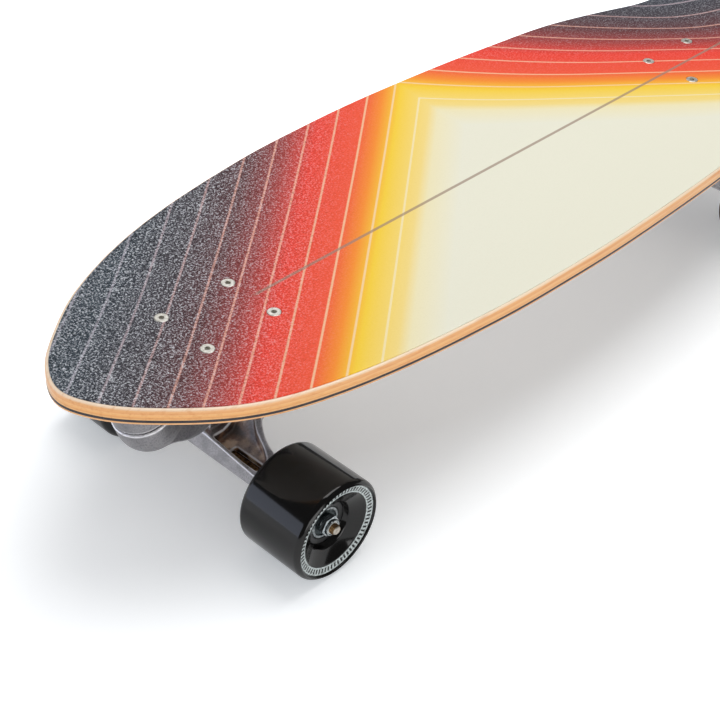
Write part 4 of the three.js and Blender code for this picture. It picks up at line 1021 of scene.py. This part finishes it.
def hanger(end, stand):
    """The hanger of one truck."""
    side = [
        (beam_front, -face_bottom),
        (beam_front, face_top),
        (beam_front - (beam_top - face_top), beam_top),
        (-beam_front, beam_top + web_rise),
        from_ring(14.8, ring_half * 0.7),
        from_ring(0, ring_half),
        from_ring(0, -ring_half),
        from_ring(wall_ahead, -ring_half),
        from_ring(wall_ahead, -ring_rise * 1.35),
        (-beam_front * 0.6, -beam_top * 0.95),
        (beam_front * 0.4, -beam_top),
    ]
    plan = [
        (beam_front + 1, -beam_half),
        (beam_front + 1, beam_half),
        (-beam_front, beam_half),
        (-ring_setback * 0.37, mouth_half),
        (-ring_setback * 0.58, neck_half),
        (-ring_setback, ring_radius),
        (-ring_setback - ring_radius, ring_radius * 0.44),
    ]
    plan += [(x, -y) for x, y in plan[:1:-1]]
    body = prism(side, 2, -beam_half - 1, beam_half + 1, "y", stand)
    limit = prism(plan, 6, -18, 60, "z", stand)
    combined(body, [limit], "INTERSECT")
    wall = [
        (beam_front, -face_bottom),
        (beam_front, face_crown),
        (beam_front - hanger_wall, face_crown + hanger_wall * 0.3),
        (-beam_front, face_crown),
        (-beam_front, -beam_top * 0.9),
        (beam_front * 0.4, -beam_top),
    ]
    wall_front = [
        (-beam_half, -18),
        (beam_half, -18),
        (beam_half, face_top),
        (fin_half, face_crown),
        (-fin_half, face_crown),
        (-beam_half, face_top),
    ]
    front_wall = prism(wall, 2, -beam_half, beam_half, "y", stand)
    wall_limit = prism(wall_front, 2, -beam_front - 1, beam_front + 1, "x", stand)
    combined(front_wall, [wall_limit], "INTERSECT")
    stem_profile = [(0, ring_radius - hanger_wall), (8, ring_radius - hanger_wall), (7, stem_end)]
    stem_profile += [(0, stem_end)]
    fin = [
        (beam_front * 0.4, 0),
        from_ring(stem_end * 0.93, 0),
        from_ring(wall_ahead + hanger_wall, 0),
        from_ring(wall_ahead, -ring_rise * 1.3),
    ]
    shoulder = [(0, -shoulder_end + 0.2), (6, -shoulder_end + 0.2), (shoulder_radius, -beam_half)]
    shoulder += [(shoulder_radius, beam_half), (6, shoulder_end - 0.2), (0, shoulder_end - 0.2)]
    across = stand @ Matrix.Rotation(-math.pi / 2, 4, "X")
    added = [
        front_wall,
        rod(ring_radius, -ring_half, ring_half, kingpin_at(stand), 72),
        lathe("stem", stem_profile, tilt_at(stand), 64),
        prism(fin, 1, -fin_half, fin_half, "y", stand),
        lathe("shoulders", shoulder, across, 64),
    ]
    combined(body, added, "UNION")
    pocket_side = [
        (beam_front - crest_wall, hanger_floor),
        (beam_front - crest_wall, 60),
        from_ring(wall_ahead + pocket_wall, 37),
        from_ring(wall_ahead + pocket_wall, -ring_rise),
    ]
    cutters = []
    for hand in (1, -1):
        pocket = [
            (beam_front, hand * (fin_half + hanger_wall)),
            (beam_front, hand * (beam_half - hanger_wall)),
            (-beam_front * 0.5, hand * (beam_half - hanger_wall)),
            (-beam_front, hand * (beam_half - 2.2 * hanger_wall)),
            (-ring_setback * 0.37, hand * (mouth_half - 1.4 * hanger_wall)),
            (-ring_setback * 0.58, hand * (neck_half - 1.4 * hanger_wall)),
            (-ring_setback, hand * (fin_half + hanger_wall)),
        ]
        hollow = prism(pocket_side, 4, -beam_half, beam_half, "y", stand)
        limit = prism(pocket, hanger_wall / 2, 0, 60, "z", stand)
        combined(hollow, [limit], "INTERSECT")
        slot_end = beam_half - slot_wall
        slot = [(slot_back, hand * (slot_end - slot_length)), (slot_front, hand * (slot_end - slot_length))]
        slot += [(slot_front, hand * slot_end), (slot_back, hand * slot_end)]
        cutters += [hollow, prism(slot, slot_corner, slot_floor, 18, "z", stand)]
    for cutter in cutters:
        combined(body, [cutter], "DIFFERENCE")
    casting = cast(body, [], 0.6, 6)
    nose_profile = [(0, stem_end - 2), (nose_radius, stem_end - 2), (nose_radius, pivot_span)]
    nose_profile += arc((nose_radius * 0.62, pivot_span), pivot_reach * 0.8, 0, 90, 6)[1:]
    nose_profile += [(0, pivot_span + pivot_reach * 0.8)]
    nose = lathe("nose", nose_profile, tilt_at(stand), 64)
    combined(casting, [nose], "UNION")
    bores = [rod(axle_radius + bore_gap, -120, 120, across), rod(ring_hole, -20, 20, kingpin_at(stand), 64)]
    machined(casting, bores)
    clad(casting, lit_hanger_aluminium)
    dressed(casting, end + "_hanger")


hanger("front", front_stand)
hanger("rear", rear_stand)

# Kingpin set: a steel bolt hangs from its seat, and clamps the hanger's ring between two poured
# urethane bushings with washers. The hanger's nose turns in a plastic cup.
# Poured urethane lets a little light in, so its red looks soft. The acetal is plain and half matt.
soft = {"Subsurface_Weight": 0.08, "Subsurface_Scale": 2 * mm}
red_urethane = mottled("poured red urethane", "#7e2824", "#96342e", 6, Roughness=0.32, **soft)[0]
acetal = mottled("moulded black acetal", "#161617", "#232325", 3, Roughness=0.4)[0]
bushing_radius = 12.25
lower_end_radius = 9.5
kingpin_nut_height = 7
kingpin_nut_across = 14.3
upper_washer_radius = 12.5
lower_washer_radius = 10.5


def washer(low, radius, stand):
    """A flat washer with an eased rim."""
    high = low + washer_thickness
    return lathe("washer", eased(kingpin_radius + seat_gap, radius, low, high, 0.3), stand)


def kingpin_set(end, seat, stand):
    """Everything that hangs on one kingpin, and the pivot cup."""
    pin = kingpin_at(stand)
    hole = kingpin_radius + seat_gap
    upper_low = ring_half + seat_gap
    upper_high = upper_low + upper_bushing_height
    lower_high = -upper_low
    lower_low = lower_high - lower_bushing_height
    nut_high = lower_low - 2 * seat_gap - washer_thickness
    tip = nut_high - kingpin_nut_height - 2.5
    shank = [(0, tip), (kingpin_radius - 0.8, tip), (kingpin_radius, tip + 0.8)]
    shank += [(kingpin_radius, seat + 2), (0, seat + 2)]
    head = hexagon(kingpin_head_across, seat + seat_gap, seat + kingpin_head_height, pin)
    dressed(joined([(lathe("shank", shank, pin), steel), (head, steel)]), end + "_kingpin")
    nut = open_nut(kingpin_nut_across, nut_high - kingpin_nut_height, nut_high, hole, pin)
    dressed(joined([(nut, zinc)]), end + "_kingpin_nut")
    flared = hole + 1.4
    barrel = [(flared, upper_low), (bushing_radius - 0.8, upper_low), (bushing_radius, upper_low + 0.8)]
    for k in range(1, 8):
        share = k / 8
        waist = bushing_radius * (1 - 0.07 * math.sin(math.pi * share))
        barrel.append((waist, upper_low + 0.8 + share * (upper_bushing_height - 1.6)))
    barrel += [(bushing_radius, upper_high - 0.8), (bushing_radius - 0.8, upper_high), (hole, upper_high)]
    cone = [(hole, lower_low), (lower_end_radius - 0.8, lower_low), (lower_end_radius, lower_low + 0.8)]
    for k in range(1, 6):
        share = k / 6
        side = lower_end_radius + share * (bushing_radius - lower_end_radius)
        cone.append((side, lower_low + 0.8 + share * (lower_bushing_height - 1.6)))
    cone += [(bushing_radius, lower_high - 0.8), (bushing_radius - 0.8, lower_high), (flared, lower_high)]
    shapes = [("upper", barrel, upper_high, upper_low), ("lower", cone, lower_low, lower_high)]
    for where, profile, held_at, moved_at in shapes:
        node = f"{end}_{where}_bushing"
        bushing = joined([(lathe("bushing", profile, pin), red_urethane)])
        stands_for(bushing, node)
        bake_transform(bushing)
    top_washer = washer(upper_high + seat_gap, upper_washer_radius, pin)
    dressed(joined([(top_washer, zinc)]), end + "_upper_washer")
    low_washer = washer(lower_low - seat_gap - washer_thickness, lower_washer_radius, pin)
    dressed(joined([(low_washer, zinc)]), end + "_lower_washer")
    inner = nose_radius + seat_gap
    cup = [(inner, pivot_span - cup_mouth), (cup_radius - 0.4, pivot_span - cup_mouth)]
    cup += [(cup_radius, pivot_span - cup_mouth + 0.4), (cup_radius, cup_end - 1.5)]
    cup += [(cup_radius - 1.5, cup_end), (0, cup_end), (0, cup_end - cup_wall)]
    cup += [(inner - 1, cup_end - cup_wall), (inner, cup_end - cup_wall - 1)]
    dressed(joined([(lathe("cup", cup, tilt_at(stand)), acetal)]), end + "_pivot_cup")


kingpin_set("front", head_seat, front_stand)

# Rear truck: a plain kingpin truck turned the other way, on a plastic riser that brings the tail up
# level. Its base plate is cast with a slanting seat for the kingpin and a housing for the cup.
riser_thickness = 15
riser_low = plate_top - riser_thickness
rear_top = riser_low - seat_gap
rear_low = rear_top - plate_thickness
rear_half_length = 49
root = rear_low + plate_thickness / 2
riser_border = 3
window_half_length = 15
window_half_width = 13


def rectangle(x, length, half):
    """The corners of a rectangle about a place on the board's middle line."""
    return [(x - length, -half), (x + length, -half), (x + length, half), (x - length, half)]


rear_outline = rectangle(rear_bolts, rear_half_length, plate_half)
rear_sheet = prism(rear_outline, 9, rear_low, rear_top, "z", rear_stand)
seat_outline = [
    from_ring(-pad_radius, seat_height),
    from_ring(pad_radius, seat_height),
    (-beam_front * 2, root),
    (-ring_setback - 1.9 * pad_radius, root),
]
housing = 13.5
mouth = pivot_span - cup_mouth
cup_outline = [
    from_ring(mouth, -housing),
    from_ring(cup_end + cup_wall, -housing),
    (from_ring(cup_end + cup_wall, -housing)[0], root),
    (from_ring(mouth, housing)[0], root),
]
blocks = [
    prism(seat_outline, 3, -pad_radius, pad_radius, "y", rear_stand),
    prism(cup_outline, 3, -housing, housing, "y", rear_stand),
]
rear_plate = cast(rear_sheet, blocks, 0.9, 6)
rear_seat = (rear_top - ring_rise) / math.cos(tilt_angle) - 2 * kingpin_head_height
rear_pin = kingpin_at(rear_stand)
cutters = bolt_holes(rear_bolts, rear_low, rear_top, rear_stand)
cutters += [rod(kingpin_head_room, rear_seat, 100, rear_pin)]
cutters += [rod(kingpin_radius + seat_gap, -37, 100, rear_pin)]
cutters += [rod(pad_radius + 1, -37, seat_height, rear_pin)]
cutters += [rod(cup_radius + seat_gap, pivot_span / 2, cup_end + seat_gap, tilt_at(rear_stand))]
for cutter in cutters:
    machined(rear_plate, [cutter])
clad(rear_plate, aluminium)
dressed(rear_plate, "rear_base_plate")

riser_outline = rectangle(rear_bolts, rear_half_length + riser_border, plate_half + riser_border)
riser = prism(riser_outline, 9, riser_low, plate_top, "z", rear_stand)
window_outline = rectangle(rear_bolts, window_half_length, window_half_width)
window = prism(window_outline, 4.5, riser_low - 1, plate_top + 1, "z", rear_stand)
machined(riser, [window] + bolt_holes(rear_bolts, riser_low, plate_top, rear_stand))
# Moulded plastic with a fine leather grain that breaks up its shine
moulded, tree, stipple = mottled("moulded black riser plastic", "#161618", "#242426", 0.8, Roughness=0.55)
lay(tree, Normal=add(tree, "Bump", {"Height": stipple, "Strength": 0.25, "Distance": 0.1 * mm}))
clad(riser, moulded)
dressed(riser, "rear_riser_pad")
kingpin_set("rear", rear_seat, rear_stand)

# Axles: hardened steel rods pressed through the hangers, with a thread cut at each end. The heat
# treatment tints them a dull bronze, and the sawn ends are bare and pale.
bronzed = plated("heat tinted axle steel", "#3f3020", "#8a6d4a", 0.4, 1.2)
axle_half = (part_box("front_axle")[1].y - front_axle.y) / mm
tree = bronzed.node_tree
sideways = add(tree, "SeparateXYZ", [add(tree, "TexCoord", out="Object")], "Y")
outwards = add(tree, "Math", [sideways], operation="ABSOLUTE")
sawn = add(tree, "MapRange", [outwards, (axle_half - 0.7) * mm, (axle_half - 0.3) * mm])
tinted = tree.nodes["Principled BSDF"].inputs["Base Color"].links[0].from_socket
ends = add(tree, "Mix", {0: sawn, 6: tinted, 7: linear("#c4bcb0")}, 2, data_type="RGBA")
lay(tree, Base_Color=ends)
thread_length = 14
thread_pitch = 1.06
thread_radius = 3.55
for end, stand in (("front", front_stand), ("rear", rear_stand)):
    half = [(axle_radius, axle_half - thread_length), (thread_radius, axle_half - thread_length)]
    for k in range(int(thread_length / thread_pitch) - 1):
        start = axle_half - thread_length + k * thread_pitch
        half += [(thread_radius - 0.5, start + thread_pitch * 0.5), (thread_radius, start + thread_pitch)]
    half += [(thread_radius - 1, axle_half), (1, axle_half), (0, axle_half - 0.8)]
    profile = [(radius, -place) for radius, place in reversed(half)] + half
    turned = lathe("axle", profile, stand @ Matrix.Rotation(-math.pi / 2, 4, "X"), 48, 30)
    dressed(joined([(turned, bronzed)]), end + "_axle")

# Wheels: cast urethane tyres, glossy and near black, poured round a moulded core. The outer face
# has a lip, a printed ring of fine ticks and a smooth cone down to the core.
wheel_radius = 35
wheel_half = 26
tread_edge = 4
lip_radius = 32.5
ring_outer = 31.7
ring_inner = 26.0
ring_face = 24.5
cone_inner = 16.8
cone_end = 18.5
core_radius = 15
core_outer_end = 14.8
core_inner_end = -9.8
tyre_bore = core_radius + seat_gap
dish_radius = 23
dish_floor = -14
tyre_profile = [(tyre_bore, dish_floor)]
tyre_profile += arc((dish_radius - 5, dish_floor - 5), 5, 90, 0, 6)
tyre_profile += arc((dish_radius + 1, -wheel_half + 1), 1, 180, 270, 3)
tyre_profile += arc((wheel_radius - tread_edge, tread_edge - wheel_half), tread_edge, -90, 0, 8)
tyre_profile += arc((wheel_radius - tread_edge, wheel_half - tread_edge), tread_edge, 0, 65, 8)
tyre_profile += [(lip_radius, wheel_half), (ring_outer + 0.3, wheel_half - 0.2)]
tyre_profile += [(ring_outer, wheel_half - 0.6), (ring_outer - 0.1, ring_face + 0.1)]
tyre_profile += [(ring_outer - 0.2, ring_face), (ring_inner, ring_face - 1)]
tyre_profile += [(ring_inner - 0.6, ring_face - 1.5), (cone_inner + 0.8, cone_end + 0.4)]
tyre_profile += [(cone_inner, cone_end), (cone_inner - 0.4, cone_end - 0.6)]
tyre_profile += [(tyre_bore + 0.3, core_outer_end + 0.3), (tyre_bore, core_outer_end)]

# Urethane: it mirrors the studio sharply over a black body. The print is worn in small patches.
urethane, tree = new_material("glossy cast urethane", IOR=1.46)
face_place = add(tree, "UVMap")
turn_share = add(tree, "SeparateXYZ", [face_place], "X")
from_hub = add(tree, "SeparateXYZ", [face_place], "Y")
tick_count = 64
tick_turn = add(tree, "Math", [turn_share, tick_count], operation="MULTIPLY")
tick_wave = add(tree, "Math", [tick_turn, 0.5], operation="PINGPONG")
tick = add(tree, "MapRange", [tick_wave, 0.21, 0.27])


def between(tree, value, low, high, soft=0.1):
    """1 where a value lies between two limits and 0 outside, with a soft border."""
    rise = add(tree, "MapRange", [value, low - soft, low])
    fall = add(tree, "MapRange", [value, high + soft, high])
    return add(tree, "Math", [rise, fall], operation="MULTIPLY")


tick_band = between(tree, from_hub, 26.4, 31.2)
outer_ring = between(tree, from_hub, 30.4, 31.2)
inner_ring = between(tree, from_hub, 26.4, 27.3)
rings = add(tree, "Math", [outer_ring, inner_ring], operation="MAXIMUM")
ticks = add(tree, "Math", [tick_band, tick], operation="MULTIPLY")
inked = add(tree, "Math", [rings, ticks], operation="MAXIMUM")
place = add(tree, "TexCoord", out="Object")
wear = add(tree, "TexNoise", {"Vector": place, "Scale": 1 / (1.2 * mm), "Detail": 3.0})
kept = add(tree, "MapRange", [wear, 0.35, 0.55, 0.4, 1.0])
ink_share = add(tree, "Math", [inked, kept], operation="MULTIPLY")
shades = {0: ink_share, 6: linear("#070606"), 7: linear("#cfd9d9")}
smear = add(tree, "TexNoise", {"Vector": place, "Scale": 1 / (12 * mm), "Detail": 4.0})
bare_gloss = add(tree, "MapRange", [smear, 0.0, 1.0, 0.06, 0.16])
ink_gloss = add(tree, "Math", [ink_share, 0.4], operation="MULTIPLY")
gloss = add(tree, "Math", [bare_gloss, ink_gloss], operation="ADD")
lay(tree, Base_Color=add(tree, "Mix", shades, 2, data_type="RGBA"), Roughness=gloss)

bearing_radius = 11
bearing_bore = 4.3
bearing_half = 3.5
bearing_middle = 8.5
core_middle = 2.5
land_radius = 8.5
land_half = 4.85
speed_washer_radius = 6.2
axle_nut_across = 12.7
axle_nut_height = 5.2
axle_nut_collar = 5.6
shield_gloss = plated("pressed bearing shield", "#23282a", "#566062", 0.35, 1.4)


def bearing(stand, outward):
    """A shielded ball bearing, its shield facing outwards."""
    way = 1 if outward else -1
    outer = eased(9.3, bearing_radius, -bearing_half, bearing_half, 0.3)
    outer += [(9.1, bearing_half - 0.5), (9.1, -bearing_half + 0.5)]
    inner = [(bearing_bore, -bearing_half + 0.2), (bearing_bore + 0.2, -bearing_half), (5.9, -bearing_half)]
    inner += [(6.1, -bearing_half + 0.5), (6.1, bearing_half - 0.5), (5.9, bearing_half)]
    inner += [(bearing_bore + 0.2, bearing_half), (bearing_bore, bearing_half - 0.2)]
    shield = [(6.2, way * 2.4), (6.4, way * 2.8), (8.8, way * 2.8), (9.05, way * 2.5)]
    shield += [(9.05, -way * 2.5), (6.2, -way * 2.5)]
    parts = [(lathe("outer_race", outer, stand, 72), steel), (lathe("inner_race", inner, stand, 72), steel)]
    return joined(parts + [(lathe("shield", shield, stand, 72), shield_gloss)])


for end in ("front", "rear"):
    for hand in ("left", "right"):
        name = f"{end}_{hand}_wheel"
        outwards = 1 if hand == "left" else -1
        middle = middle_of(name + "_tyre")
        middle.z = wheel_radius * mm
        stand = Matrix.Translation(middle) @ Matrix.Rotation(-outwards * math.pi / 2, 4, "X")
        tyre = lathe("tyre", tyre_profile, stand, 128, 40)
        layer = tyre.data.uv_layers.new(name="face")
        back = stand.inverted()
        for polygon in tyre.data.polygons:
            corners = [back @ tyre.data.vertices[i].co for i in polygon.vertices]
            turns = [math.atan2(corner.y, corner.x) / (2 * math.pi) % 1 for corner in corners]
            wraps = max(turns) - min(turns) > 0.5
            on_face = min(corner.z for corner in corners) > (core_outer_end + 1) * mm
            for loop_index, corner, turn in zip(polygon.loop_indices, corners, turns):
                radius = math.hypot(corner.x, corner.y) / mm if on_face else 0
                layer.data[loop_index].uv = (turn + 1 if wraps and turn < 0.5 else turn, radius)
        clad(tyre, urethane)
        dressed(tyre, name + "_tyre")
        seat = bearing_radius + bore_gap
        core = [(seat, core_inner_end), (core_radius, core_inner_end), (core_radius, core_outer_end - 0.4)]
        core += [(core_radius - 0.4, core_outer_end), (seat + 0.5, core_outer_end)]
        core += [(seat, core_outer_end - 0.5)]
        core += [(seat, core_middle + land_half), (land_radius, core_middle + land_half)]
        core += [(land_radius, core_middle - land_half), (seat, core_middle - land_half)]
        dressed(joined([(lathe("core", core, stand, 96), acetal)]), name + "_core")
        for side, way in (("outer", 1), ("inner", -1)):
            there = stand @ Matrix.Translation((0, 0, (core_middle + way * bearing_middle) * mm))
            dressed(bearing(there, side == "outer"), f"{name}_{side}_bearing")
        face = core_middle + bearing_middle + bearing_half
        washer_high = face + 1.3
        speed = eased(bearing_bore, speed_washer_radius, face + 0.3, washer_high, 0.2)
        parts = [(lathe("speed_washer", speed, stand, 48), zinc)]
        parts += locknut(axle_nut_across, washer_high, axle_nut_height, axle_nut_collar, stand, False)
        cut = rod(axle_radius + bore_gap, face - 1, face + 12, stand)
        combined(parts[1][0], [cut], "DIFFERENCE")
        dressed(joined(parts), f"{end}_{hand}_axle_nut")
